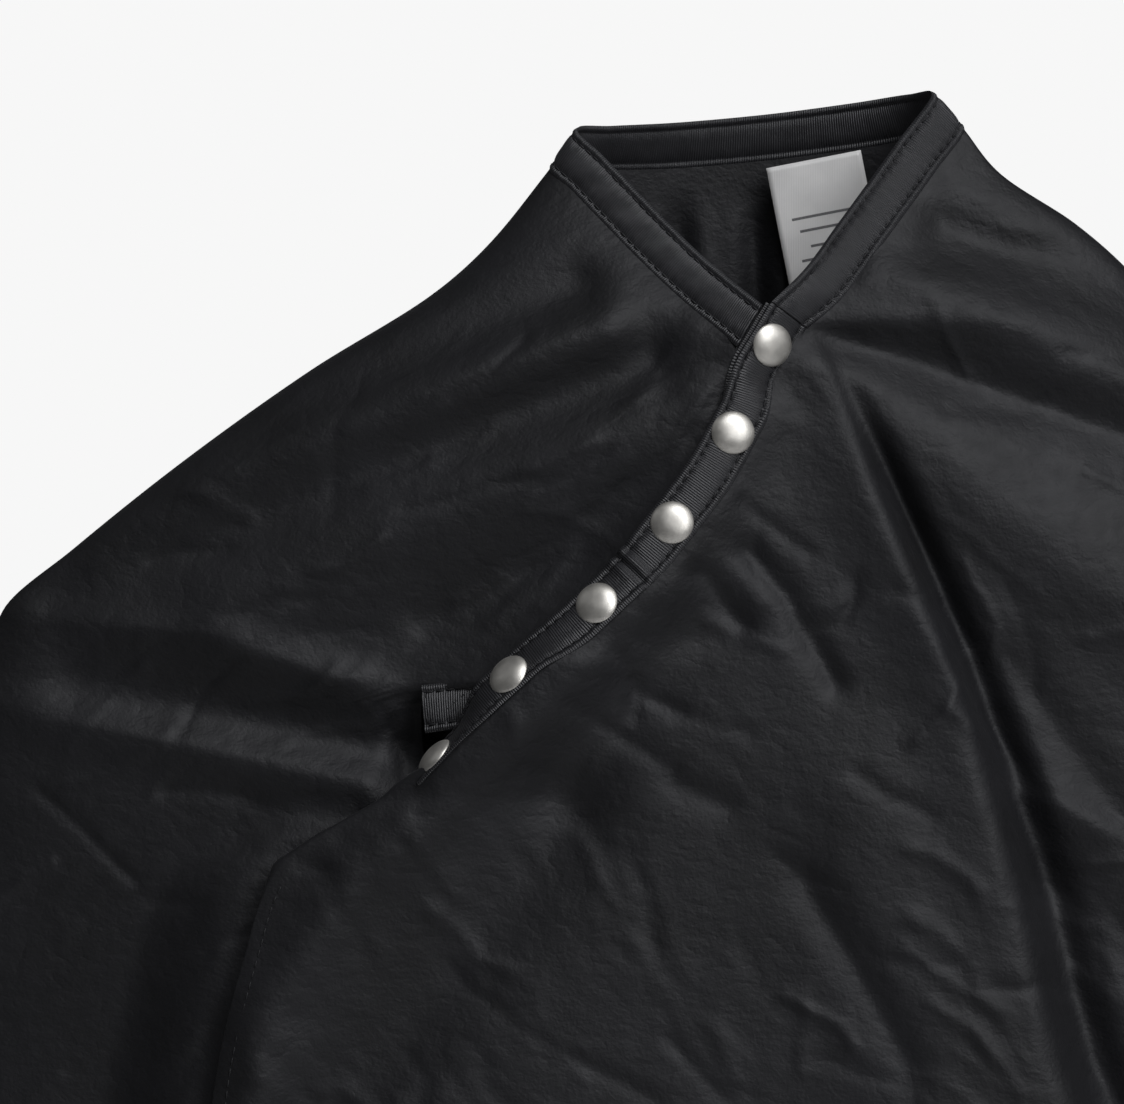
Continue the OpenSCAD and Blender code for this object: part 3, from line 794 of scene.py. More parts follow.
class Wardrobe:
    """Makes each finish once and hands it out."""

    MAKERS = {
        Finish.CLOTH: CapeNylon(),
        Finish.BAND: Binding(),
        Finish.CAP: Nickel(),
        Finish.SNAP: Nickel("bright_nickel", (0.66, 0.65, 0.63), 0.2),
        Finish.LABEL: Satin(),
        Finish.THREAD: Thread(),
        Finish.INK: Thread("label_ink", (0.12, 0.12, 0.12)),
    }
    SLOTS = {Finish.THREAD: "band_twill", Finish.INK: "label_satin"}

    def __init__(self) -> None:
        """Starts with nothing made."""
        self.made: dict = {}

    def get(self, finish: Finish) -> bpy.types.Material:
        """The material for a finish."""
        if finish not in self.made:
            self.made[finish] = self.MAKERS[finish].make()
        return self.made[finish]

    def dress(self, piece: bpy.types.Object, finish: Finish) -> None:
        """Gives a piece its finish."""
        piece.data.materials.clear()
        piece.data.materials.append(self.get(finish))
        self.SLOTS.get(finish, finish.value)


WARDROBE = Wardrobe()


# ---------------------------------------------------------------- meshes


def make_mesh(
    name: str, points: Array, faces: list, finish: Finish, uv: Array | None = None
) -> bpy.types.Object:
    """Makes a smooth mesh object.

    Args:
        name: the piece's name.
        points: vertices in millimetres, one a row.
        faces: corner numbers of each face.
        finish: what it is made of.
        uv: a UV place for each vertex, if the finish needs one.

    Returns:
        The new object.
    """
    mesh = bpy.data.meshes.new(name)
    mesh.from_pydata((np.asarray(points) * MM).tolist(), [], faces)
    mesh.validate()
    mesh.update()
    mesh.polygons.foreach_set("use_smooth", [True] * len(mesh.polygons))
    if uv is not None:
        corners = np.empty(len(mesh.loops), dtype=int)
        mesh.loops.foreach_get("vertex_index", corners)
        mesh.uv_layers.new(name="UVMap").data.foreach_set("uv", np.asarray(uv, dtype=float)[corners].ravel())
    piece = bpy.data.objects.new(name, mesh)
    bpy.context.scene.collection.objects.link(piece)
    WARDROBE.dress(piece, finish)
    return piece


def grid_normals(grid: Array) -> Array:
    """Unit normals of a grid of points, towards -Y on a front that runs down and then from -X to +X."""
    return unit(np.cross(np.gradient(grid, axis=1), np.gradient(grid, axis=0)))


class Facing(Enum):
    """Which way a panel's outer face looks."""

    FRONT = -1.0
    BACK = 1.0


def turn_under(grid: Array, side: str, radius: Array, tail: Array, facing: Facing, steps: int = 6) -> Array:
    """Adds a turned-under hem or a rolled edge to one side of a grid.

    Args:
        grid: points, rows from the top and columns from the left.
        side: "left", "right" or "bottom".
        radius: how far the edge rolls, one value for the side or one for each point on it.
        tail: how far the turned layer reaches back behind the face.
        facing: which way the outer face looks.
        steps: how many strips round the roll.

    Returns:
        A larger grid.
    """
    if side == "bottom":
        turned = turn_under(grid.swapaxes(0, 1)[:, ::-1], "left", radius, tail, facing, steps)
        return turned[:, ::-1].swapaxes(0, 1)
    if side == "right":
        return turn_under(grid[:, ::-1], "left", radius, tail, facing, steps)[:, ::-1]
    edge, inward = grid[:, 0], unit(grid[:, 2] - grid[:, 0])
    normal = grid_normals(grid[:, 0:3])[:, 0]
    out = square_to(normal * np.sign(normal[:, 1:2] * facing.value + 1e-9), inward)
    r = np.broadcast_to(np.asarray(radius, dtype=float), (len(edge),))[:, None]
    w = np.broadcast_to(np.asarray(tail, dtype=float), (len(edge),))[:, None]
    extra = []
    for k in range(1, steps + 1):
        a = math.pi * k / steps
        extra.append(edge - inward * r * math.sin(a) - out * r * (1 - math.cos(a)))
    for share in (0.34, 0.67, 1.0):
        extra.append(edge - out * 2 * r + inward * w * share)
    return np.concatenate([np.stack(extra[::-1], axis=1), grid], axis=1)


def shell(name: str, grid: Array, finish: Finish, thickness: float, facing: Facing) -> bpy.types.Object:
    """A closed sheet of cloth from a grid of points.

    Args:
        name: the piece's name.
        grid: the outer face, rows from the top and columns from the left.
        finish: what it is made of.
        thickness: of the cloth.
        facing: which way the outer face looks.

    Returns:
        The new object.
    """
    n, m = grid.shape[:2]
    normal = grid_normals(grid)
    middle = normal[n // 2, m // 2, 1]
    if middle * facing.value < 0:
        normal = -normal
    inner = grid - normal * thickness
    points = np.concatenate([grid.reshape(-1, 3), inner.reshape(-1, 3)])
    number = np.arange(n * m).reshape(n, m)
    a, b, c, d = number[:-1, :-1], number[:-1, 1:], number[1:, 1:], number[1:, :-1]
    face = np.stack([a, d, c, b], axis=-1).reshape(-1, 4)
    rim = np.concatenate([number[0, :-1], number[:-1, -1], number[-1, :0:-1], number[:0:-1, 0]])
    ahead = np.roll(rim, -1)
    sides = np.stack([rim, ahead, ahead + n * m, rim + n * m], axis=-1)
    back = face[:, ::-1] + n * m
    faces = np.concatenate([face, back, sides])
    if facing is Facing.BACK:
        faces = faces[:, ::-1]
    return make_mesh(name, points, faces.tolist(), finish)


def ribbon(name: str, free: Array, seam: Array, out: Array, thick: float, finish: Finish) -> bpy.types.Object:
    """A band of folded tape with soft edges and a shallow channel under each row of stitching.

    Args:
        name: the piece's name.
        free: one edge's places on the outer face, down the band.
        seam: the other edge's places.
        out: the way out of the band at each station.
        thick: of the band.
        finish: what it is made of.

    Returns:
        The new object.
    """
    width = float(np.median(np.linalg.norm(seam - free, axis=1)))
    u = np.array([0, 0.012, 0.03, 0.06, 0.1, 0.135, 0.16, 0.185, 0.22, 0.3, 0.4, 0.5])
    u = np.concatenate([u, 1 - u[-2::-1]])
    edge = np.minimum(u, 1 - u) * width
    rounded = -0.42 * (1 - smooth(edge / 0.9))
    channel = -0.34 * np.exp(-(((edge - SEAM_INSET) / 0.6) ** 2))
    lip = 0.22 * np.exp(-(((edge - 1.4) / 0.8) ** 2))
    filling = 0.40 * smooth((edge - 3.0) / 3.0)
    puff = thick * (rounded + channel + lip + filling)
    length = np.concatenate([[0], np.cumsum(np.linalg.norm(np.diff((free + seam) / 2, axis=0), axis=1))])
    beside_seam = np.exp(-(((edge - SEAM_INSET) / 1.8) ** 2))
    pucker = 0.14 * np.sin(2 * math.pi * length / 3.7)[:, None] * beside_seam[None]
    slant = length[:, None] + 0.5 * u[None] * width
    crush = 0.42 * CRUSH.noise(slant / 7.5, u[None] * width / 16.0 + 40.0) * smooth(edge / 3.0)[None]
    crush = crush + 0.16 * CRUSH.noise(slant / 2.9 + 9.0, u[None] * width / 7.0) * smooth(edge / 2.0)[None]
    face = free[:, None] + (seam - free)[:, None] * u[None, :, None]
    top = face + out[:, None] * (puff[None] + pucker + crush)[..., None]
    low = face - out[:, None] * (thick + 0.9 * puff[None] - 0.4 * crush)[..., None]
    ring = np.concatenate([top, low[:, ::-1]], axis=1)
    n, m = ring.shape[:2]
    number = np.arange(n * m).reshape(n, m)
    a, b = number[:-1], np.roll(number, -1, axis=1)[:-1]
    c, d = np.roll(number, -1, axis=1)[1:], number[1:]
    faces = np.stack([a, b, c, d], axis=-1).reshape(-1, 4).tolist()
    for row, turn in ((0, 1), (n - 1, -1)):
        for k in range(m // 2 - 1):
            quad = [number[row, k], number[row, m - 1 - k], number[row, m - 2 - k], number[row, k + 1]]
            faces.append([int(v) for v in quad[::turn]])
    across = np.concatenate([edge * 0 + u * width, (u * width)[::-1]])
    uv = np.stack(np.broadcast_arrays(length[:, None] * MM, across[None] * MM), axis=-1).reshape(-1, 2)
    return make_mesh(name, ring.reshape(-1, 3), faces, finish, uv)


class Stitching:
    """Rows of lock stitches in thread, gathered into one piece."""

    def __init__(self, name: str, thread: float = 0.34, pitch: float = 3.7, stitch: float = 2.9) -> None:
        """Starts an empty piece of thread.

        Args:
            name: the piece's name.
            thread: half the thread's thickness.
            pitch: from one stitch to the next.
            stitch: the length of a stitch.
        """
        self.name, self.thread, self.pitch, self.stitch = name, thread, pitch, stitch
        self.points: list = []
        self.faces: list = []

    def capsule(self, a: Array, b: Array, out: Array) -> None:
        """One stitch from a to b, lying on a surface that faces out."""
        along, sides, stops = unit(b - a), 6, (0.0, 0.12, 0.35, 0.65, 0.88, 1.0)
        across = np.cross(along, out)
        base = len(self.points)
        for s in stops:
            rise = math.sin(math.pi * s) ** 0.5 if 0 < s < 1 else 0.0
            centre = a + (b - a) * s + out * self.thread * (0.55 * rise - 0.55)
            r = self.thread * (0.35 + 0.65 * rise)
            for k in range(sides):
                turn = 2 * math.pi * k / sides
                self.points.append(centre + r * (math.cos(turn) * across + math.sin(turn) * out))
        for i in range(len(stops) - 1):
            for k in range(sides):
                p, q = base + i * sides + k, base + i * sides + (k + 1) % sides
                self.faces.append([p, p + sides, q + sides, q])
        self.faces.append([base + k for k in range(sides)])
        end = base + (len(stops) - 1) * sides
        self.faces.append([end + k for k in range(sides - 1, -1, -1)])

    def run(self, path: Array, out: Array) -> "Stitching":
        """A row of stitches.

        Args:
            path: points of the seam line, in order.
            out: the surface's outward direction at each point.

        Returns:
            Itself, so that rows can be chained.
        """
        length = np.concatenate([[0], np.cumsum(np.linalg.norm(np.diff(path, axis=0), axis=1))])
        count = int(length[-1] / self.pitch)
        for i in range(count):
            s = (i + 0.5) * length[-1] / max(count, 1)
            ends = [
                np.array([np.interp(s + k * self.stitch / 2, length, path[:, c]) for c in range(3)])
                for k in (-1, 1)
            ]
            facing = unit(np.array([np.interp(s, length, out[:, c]) for c in range(3)]))
            self.capsule(ends[0], ends[1], square_to(facing, unit(ends[1] - ends[0])))
        return self

    def build(self) -> bpy.types.Object:
        """Makes the mesh of every row."""
        return make_mesh(self.name, np.array(self.points), self.faces, Finish.THREAD)


def lathe(name: str, profile: list, place: Matrix, finish: Finish) -> bpy.types.Object:
    """A turned piece.

    Args:
        name: the piece's name.
        profile: (radius, height) points from the axis, round the outside and back to the axis.
        place: the matrix, in millimetres, that puts its axis where it belongs.
        finish: what it is made of.

    Returns:
        The new object.
    """
    points, faces, sides = [], [], LATHE_SIDES
    for r, h in profile:
        for k in range(sides):
            a = 2 * math.pi * k / sides
            points.append(place @ Vector((r * math.cos(a), r * math.sin(a), h)))
    for i in range(len(profile) - 1):
        for k in range(sides):
            p, q = i * sides + k, i * sides + (k + 1) % sides
            faces.append([p, q, q + sides, p + sides])
    faces.append(list(range(sides - 1, -1, -1)))
    faces.append([(len(profile) - 1) * sides + k for k in range(sides)])
    return make_mesh(name, np.array(points), faces, finish)


def frame_matrix(at: Array, out: Array, along: Array) -> Matrix:
    """A matrix that puts +Z along out and +X along the band."""
    x = square_to(along, out)
    y = np.cross(out, x)
    return Matrix([[x[i], y[i], out[i], at[i]] for i in range(3)] + [[0, 0, 0, 1]])


# ---------------------------------------------------------------- the cloth


@dataclass
class Cloth:
    """What the cloth panels share."""

    hang: Hang
    thickness: float = 0.35
    hem: float = 5.0
    roll: float = 0.55
    fine: float = 1.7
    coarse: float = 4.5

    def rows_of(self, top: float, bottom: float, detail_to: float = -360.0) -> Array:
        """Heights of the rows, close together where the cloth is looked at from near by."""
        near = np.arange(top, max(detail_to, bottom), -self.fine)
        if bottom >= detail_to:
            return np.append(near, bottom)
        far = np.arange(near[-1] - self.coarse, bottom, -self.coarse)
        return np.concatenate([near, far, [bottom]])

    def declare(self, piece: bpy.types.Object, flat: tuple, area: float, rests_on: list) -> None:
        """Logs the sheet's flat cut and its vertex count."""
        LOG.info("%s: cloth of %.2f x %.2f m, %d vertices", piece.name, *flat, len(piece.data.vertices))


def edge_curve(points: Array) -> tuple:
    """Turns an edge's points, from the top down, into functions of height.

    Args:
        points: places on the edge with falling heights.

    Returns:
        Two functions, which give x and y by height.
    """
    keep = np.concatenate([[True], np.diff(np.minimum.accumulate(points[:, 2])) < -1e-6])
    p = points[keep][::-1]
    return (lambda z: np.interp(z, p[:, 2], p[:, 0])), (lambda z: np.interp(z, p[:, 2], p[:, 1]))


@dataclass
class BackPanel(Cloth):
    """The back of the cape, from under the collar to the long hem."""

    columns: int = 190
    rows: int = 330

    def build(self) -> bpy.types.Object:
        """Builds the panel with its hems."""
        h = self.hang
        u = math.pi / 2 * (2 * np.arange(self.columns + 1) / self.columns - 1)
        bend = np.abs(np.sin(u))
        c = mix(h.right_point, h.left_point, 0.5 - u / math.pi)
        top = h.seam_at(c)
        low = -h.back_len - 70 * bend**3
        share = np.linspace(0, 1, self.rows)[:, None] ** 1.25
        z = mix(top[None, :, 2], low[None], share)
        x0 = h.half_width(u[None] + 0 * z, z) * np.sin(u)[None]
        hold = np.exp(-share * h.back_len / 45)
        x = mix(x0, top[None, :, 0], hold)
        pleats = np.sin(x / 4.1 + 0.9) + 0.45 * np.sin(x / 2.3 + 0.02 * z)
        pleats = 4.6 * pleats * np.exp(-((x / 40) ** 2)) * smooth((-16 - z) / 22) * smooth((z + 190) / 90)
        side = smooth((1 - bend) / 0.12)[None]
        crush = CRUSH.height(x + 400, z, 80) * smooth((-14 - z) / 60) * side
        y = mix(h.back_y(x, z) + pleats + crush * 0.9, top[None, :, 1], hold)
        grid = np.stack([x, y, z], axis=-1)
        grid = turn_under(grid, "bottom", self.roll, self.hem + 4, Facing.BACK)
        piece = shell("back_cloth", grid, Finish.CLOTH, self.thickness, Facing.BACK)
        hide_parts("back_panel")
        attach(piece, "cape")
        self.declare(piece, (0.68, 1.44), 0.86, ["collar_binding"])
        return piece


@dataclass
class LeftFront(Cloth):
    """The left front, from the left shoulder fold to its slit edge."""

    columns: int = 150

    def edge_points(self) -> Array:
        """Places on the panel's right edge, from the shoulder down."""
        h = self.hang
        tab = NeckBinding.tab_points(h)
        tab_top = tab[2][2] + h.band_w / 2 - 0.2
        collar = h.seam_at(np.linspace(h.left_point + 0.02, h.collar_last - 0.1, 90))
        row = [
            h.row_edge(t, 1, -h.tuck, h.under_face - h.band_t / 2)
            for t in np.linspace(h.row_from + 0.60, h.under_to - 0.01, 120)
        ]
        slit = HeightTable([
            (tab_top, tab[2][0] - 0.6), (tab_top - h.band_w, tab[2][0] - 0.6),
            (tab_top - 70, tab[2][0] + 4), (-h.front_len, tab[2][0] + 30),
        ])
        z = np.linspace(tab_top - 6, -h.front_len, 120)
        x = slit(z)
        hanging = np.stack([x, h.left_y(x, z), z], axis=-1)
        return np.concatenate([collar, np.array(row), hanging])

    def build(self) -> bpy.types.Object:
        """Builds the panel with its hems."""
        h = self.hang
        points = self.edge_points()
        edge_x, edge_y = edge_curve(points)
        z = self.rows_of(points[0, 2], -h.front_len)[:, None]
        s = (1 - np.cos(math.pi / 2 * np.arange(self.columns + 1) / self.columns))[None]
        left, right = -h.half_width(-1.0, z), edge_x(z)
        x = mix(left, right, s)
        side = smooth(s / 0.10)
        last_z = h.row_edge(h.under_to - 0.01, 1, -h.tuck, h.under_face - h.band_t / 2)[2]
        last_x = edge_x(last_z)
        last_pull = edge_y(last_z) - h.left_y(last_x, last_z)
        on_row = z > last_z
        near = np.exp(-np.maximum(0.0, np.where(on_row, right, last_x) - x) / 16)
        let_go = last_pull * np.exp(-(((last_z - z) / 11) ** 2))
        pull = near * np.where(on_row, edge_y(z) - h.left_y(right, z), let_go)
        behind_tab = smooth((last_z - z) / 6) * smooth((x + 128) / 14) * smooth((z - last_z + 45) / 20)
        pull = pull + 4.5 * behind_tab
        crush = CRUSH.height(x, z, 24, 1.9) + CRUSH.creases(x, z, (-280, -20, -420, -60), 22, 90, 5)
        crush = crush * side * smooth((right - x) / 9)
        y = h.left_y(x, z) + pull - crush
        grid = np.stack(np.broadcast_arrays(x, y, z), axis=-1)
        free = smooth((-222 - z[:, 0]) / 10)
        roll, tail = self.roll * mix(0.5, 1.0, free), mix(1.0, self.hem, free)
        grid = turn_under(grid, "right", roll, tail, Facing.FRONT)
        grid = turn_under(grid, "bottom", self.roll, self.hem + 4, Facing.FRONT)
        piece = shell("left_front_cloth", grid, Finish.CLOTH, self.thickness, Facing.FRONT)
        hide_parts("left_front_panel")
        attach(piece, "cape")
        self.declare(piece, (0.36, 0.70), 0.17, ["collar_binding", "under_snap_binding"])
        return piece


@dataclass
class RightFront(Cloth):
    """The right front: the side panel and, past its fold, the flap that carries the snaps."""

    columns: int = 320

    def crest_x(self, z: Array) -> Array:
        """Where the fold's crest runs; it bows out to the right of the straight line it turns about."""
        bow = 9.5 * np.sin(math.pi * np.clip((-84 - z) / 245, 0, 1)) ** 1.2
        return self.hang.hinge_at(z)[..., 0] + bow

    def edge_points(self) -> Array:
        """Places on the left edge, from the shoulder down: the collar, the snap band and the free hem."""
        h = self.hang
        collar = h.seam_at(np.linspace(h.right_point - 0.02, 0.02, 70))
        row = [
            h.row_edge(t, -1, -h.tuck, -h.band_t / 2)
            for t in np.linspace(h.row_from + 0.02, h.snaps - 0.05, 160)
        ]
        z = np.linspace(h.snap_at(h.snaps)[2] - 14, -h.front_len, 160)
        x = h.flap_edge(z)
        hanging = np.stack([x, h.flap_y(x, z), z], axis=-1)
        return np.concatenate([collar, np.array(row), hanging])

    def build(self) -> bpy.types.Object:
        """Builds the whole front as one cloth, with the flap's fold shaped into it."""
        h = self.hang
        points = self.edge_points()
        edge_x, edge_y = edge_curve(points)
        z = self.rows_of(points[0, 2], -h.front_len)[:, None]
        left, right = edge_x(z), h.half_width(1.0, z)
        s = np.sin(math.pi / 2 * np.linspace(0, 1, self.columns + 1)[None] ** 0.9)
        x = mix(left, right, s)
        below = smooth((h.hinge_top[2] + 6 - z) / 30)
        crest = self.crest_x(z[:, 0])[:, None]
        d = x - crest
        over = smooth((d + 6) / 22) * below + (1 - below)
        ridge_y = h.hinge_at(z[:, 0])[..., 1][:, None]
        flap, panel = h.flap_y(x, z), h.right_y(x, z)
        wide = mix(15, 34, smooth((-120 - z) / 300))
        rise = mix(2.0, 4.5, smooth((-84 - z) / 80)) * mix(1.0, 0.5, smooth((-330 - z) / 200))
        rib_crest_sheen = (ridge_y - h.flap_y(crest, z) - rise) * below
        ridge = np.exp(-((d / np.where(d < 0, wide, 0.26 * wide)) ** 2))
        trough = np.exp(-(((d - 0.46 * wide) / (0.34 * wide)) ** 2))
        valley = 10.0 * below * smooth((-84 - z) / 60) * trough
        y = mix(flap, panel, over) + rib_crest_sheen * ridge + valley * self.hang.crown(x, z)
        near = np.exp(-(x - left) / 42)
        y = y + near * (edge_y(z) - mix(h.flap_y(left, z), h.right_y(left, z), 1 - below))
        side = smooth((right - x) / 22)
        crush = mix(CRUSH.height(x + 900, z, -55, 1.4), CRUSH.height(x + 1500, z, -22, 1.8), over)
        crush = crush + CRUSH.creases(x, z, (-180, 90, -430, -110), -52, 80, 6)
        crush = crush + CRUSH.creases(x, z, (40, 270, -430, -60), -24, 70, 7)
        crush = crush * side * smooth((x - left) / 8)
        grid = np.stack(np.broadcast_arrays(x, y - crush, z), axis=-1)
        top, kink = h.snap_at(h.snaps)[2] + 4, h.corner[2]
        roll = 4.2 * smooth((top - z[:, 0]) / 12) * (1 - smooth((kink + 4 - z[:, 0]) / 16))
        free = smooth((top - 4 - z[:, 0]) / 12)
        tail = mix(1.0, self.hem, free) + 4 * roll
        grid = turn_under(grid, "left", self.roll * mix(0.5, 1.0, free) + roll, tail, Facing.FRONT)
        grid = turn_under(grid, "bottom", self.roll, self.hem + 4, Facing.FRONT)
        piece = shell("right_front_cloth", grid, Finish.CLOTH, self.thickness, Facing.FRONT)
        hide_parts("right_front_flap", "right_side_panel")
        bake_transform(piece)
        self.declare(piece, (0.62, 0.70), 0.29, ["collar_binding", "upper_snap_binding"])
        return piece


# ---------------------------------------------------------------- the binding


class NeckBinding:
    """The collar band and its two tails."""

    def __init__(self, hang: Hang) -> None:
        """Takes the hung cape that it binds."""
        self.hang = hang

    @staticmethod
    def tab_points(h: Hang) -> list:
        """The middle line of the under band's loose end."""
        root = h.row_at(h.under_to) + h.under_face * h.row_out(h.under_to)
        return [root, root + vec(-9.5, 9.5, -2.4), root + vec(-26, 14.3, -4.6)]

    def collar(self) -> None:
        """The bound neck edge, from the left front round the back to just above the first snap."""
        h = self.hang
        t = np.linspace(0.0, h.collar_last, 700)
        free, across, out = h.collar_at(t), h.across_at(t), h.collar_out(t)
        wide = h.band_w + (h.end_width - h.band_w) * smooth((t - h.collar_last + 0.5) / 0.5)
        seam = free + wide[:, None] * across
        piece = ribbon("collar_binding", free, seam, out, h.band_t, Finish.BAND)
        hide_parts("collar_band")
        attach(piece, "cape")
        rows = Stitching("collar_stitching")
        for share in (SEAM_INSET / h.band_w, 1 - SEAM_INSET / h.band_w):
            rows.run(free + (seam - free) * share - out * THREAD_SINK, out)
        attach(rows.build(), "cape")
        LOG.info("collar binding: %.0f mm round", np.linalg.norm(np.diff(free, axis=0), axis=1).sum())

    def tail(self, name: str, stations: list, plain_end: int) -> tuple:
        """One snap band with its stitching.

        Args:
            name: the piece's name.
            stations: (free edge, seam edge, way out) at each step down the band.
            plain_end: how many stations at its end have no stitches.

        Returns:
            The band and its thread.
        """
        free, seam, out = (np.array([s[k] for s in stations]) for k in range(3))
        piece = ribbon(name, free, seam, out, self.hang.band_t, Finish.BAND)
        rows = Stitching(name.replace("binding", "stitching"))
        sewn = slice(0, len(free) - plain_end)
        for share in (SEAM_INSET / self.hang.band_w, 1 - SEAM_INSET / self.hang.band_w):
            rows.run((free + (seam - free) * share - out * THREAD_SINK)[sewn], out[sewn])
        return piece, rows.build()

    def upper(self) -> None:
        """The upper snap band, from where it leaves the collar to past the last snap."""
        h = self.hang
        t = np.linspace(h.row_from, h.row_to, 420)
        pleats = (
            (3.64, 0.9, 0.045), (3.57, -0.9, 0.028), (3.50, 0.8, 0.035), (3.43, -0.6, 0.03),
            (4.52, -0.4, 0.08), (1.5, -0.25, 0.1), (2.48, 0.25, 0.1),
        )
        gather = sum(a * np.exp(-(((t - at) / w) ** 2)) for at, a, w in pleats)
        stations = [
            (h.row_edge(a, 1) + g * h.row_out(a), h.row_edge(a, -1) + 0.5 * g * h.row_out(a), h.row_out(a))
            for a, g in zip(t, gather)
        ]
        piece, thread = self.tail("upper_snap_binding", stations, 3)
        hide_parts("upper_snap_band")
        start, end = h.row_at(h.row_from) * MM, h.row_at(0.93) * MM
        for part in (piece, thread):
            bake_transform(part)
        LOG.info("upper snap binding: %d stations", len(t))

    def under(self) -> None:
        """The under snap band, with its loose end laid out as a tab."""
        h = self.hang
        tab = Spline(self.tab_points(h))
        face = Spline([h.row_out(h.under_to), unit(vec(-0.42, -0.84, 0.30)), unit(vec(-0.25, -0.95, 0.15))])
        stations = [
            (h.row_edge(t, 1, 0, h.under_face), h.row_edge(t, -1, 0, h.under_face), h.row_out(t))
            for t in np.linspace(h.row_from, h.under_to, 240)
        ]
        corners = []
        for t in np.linspace(0.12, 2.0, 44):
            along = unit(tab(min(t + 0.05, 2.0)) - tab(max(t - 0.05, 0.0)))
            out = square_to(face(t), along)
            half = h.band_w / 2 * np.cross(along, out)
            stations.append((tab(t) + half, tab(t) - half, out))
            corners.append((tab(t) + half * 0.72, tab(t) - half * 0.72, out))
        piece, thread = self.tail("under_snap_binding", stations, 2)
        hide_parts("under_snap_band")
        for part in (piece, thread):
            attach(part, "cape")
        box = Stitching("tab_stitching", pitch=3.1, stitch=2.4)
        first, last = corners[18], corners[-4]
        steps = np.linspace(0, 1, 12)[:, None]
        for a, b in ((first[0], first[1]), (last[0], last[1]), (first[0], last[1])):
            path = a + (b - a) * steps - THREAD_SINK * first[2]
            box.run(path, np.repeat(last[2][None], len(path), axis=0))
        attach(box.build(), "cape")
        LOG.info("under snap binding: %d stations", len(stations))


# ---------------------------------------------------------------- press snaps


@dataclass
class PressSnap:
    """One press snap in its four pieces, set where the frame's solids are."""

    number: int
    place: Matrix
    stud_place: Matrix
    cap_r: float = 7.5
    cap_h: float = 2.9
    socket_r: float = 5.5

    def cap_profile(self) -> list:
        """The domed cap with its rolled rim, and the shank under it."""
        dome = []
        steps = 22
        for k in range(steps + 1):
            a = math.pi / 2 * k / steps
            r = self.cap_r * math.sin(a) ** 0.96 if k else 0.02
            h = 0.35 + (self.cap_h - 0.35) * (1 - (r / self.cap_r) ** 2.5) ** 0.72 if r < self.cap_r else 0.35
            dome.append((r, h))
        r = self.cap_r
        rim = [(r, 0.16), (r - 0.14, 0.03), (r - 0.5, 0.0), (2.6, 0.0), (1.6, -0.05)]
        return dome + rim + [(1.6, -1.6), (2.2, -1.65), (2.2, -1.74), (0.02, -1.74)]

    def socket_profile(self) -> list:
        """The ring that grips the stud, with its hollow and rolled mouth."""
        r = self.socket_r
        return [
            (1.7, -1.02), (r - 0.6, -1.02), (r - 0.12, -1.2), (r, -1.5), (r - 0.1, -2.1), (r - 0.7, -2.6),
            (r - 1.0, -2.98), (4.3, -3.0), (4.05, -2.85), (3.5, -2.1), (3.1, -1.56), (1.75, -1.5),
            (1.7, -1.3),
        ]

    def stud_profile(self) -> list:
        """The knob that the socket grips, on its flange."""
        return [
            (0.02, -1.97), (1.2, -1.98), (1.75, -2.12), (1.92, -2.4), (1.8, -2.75), (1.95, -3.05),
            (2.6, -3.2), (4.6, -3.22), (4.95, -3.32), (5.0, -3.5), (4.9, -3.58), (0.02, -3.58),
        ]

    def post_profile(self) -> list:
        """The flanged post riveted through from behind."""
        return [
            (0.02, -3.4), (1.05, -3.42), (1.1, -4.6), (4.5, -4.62), (4.78, -4.7), (4.8, -4.85), (4.6, -4.98),
            (3.4, -5.0), (3.1, -4.9), (0.02, -4.88),
        ]

    def build(self) -> None:
        """Builds the four pieces on their bodies."""
        n = self.number
        parts = (
            ("cap", self.cap_profile(), self.place, Finish.CAP, "front_flap"),
            ("socket", self.socket_profile(), self.place, Finish.SNAP, "front_flap"),
            ("stud", self.stud_profile(), self.stud_place, Finish.SNAP, "cape"),
            ("post", self.post_profile(), self.stud_place, Finish.SNAP, "cape"),
        )
        for kind, profile, place, finish, body in parts:
            piece = lathe(f"{kind}_{n}", profile, place, finish)
            if kind == "socket":
                self.close_ring(piece, len(profile))
            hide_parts(f"snap_{kind}_{n}")
            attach(piece, body)
        LOG.info("press snap %d", n)

    @staticmethod
    def close_ring(piece: bpy.types.Object, rings: int) -> None:
        """Turns a lathed piece into a ring, by joining its last round to its first."""
        bm = bmesh.new()
        bm.from_mesh(piece.data)
        bm.faces.ensure_lookup_table()
        bmesh.ops.delete(bm, geom=[f for f in bm.faces if len(f.verts) > 4], context="FACES_ONLY")
        bm.verts.ensure_lookup_table()
        last = (rings - 1) * LATHE_SIDES
        for k in range(LATHE_SIDES):
            q = (k + 1) % LATHE_SIDES
            face = bm.faces.new([bm.verts[last + k], bm.verts[last + q], bm.verts[q], bm.verts[k]])
            face.smooth = True
        bm.to_mesh(piece.data)
        bm.free()


# ---------------------------------------------------------------- care label


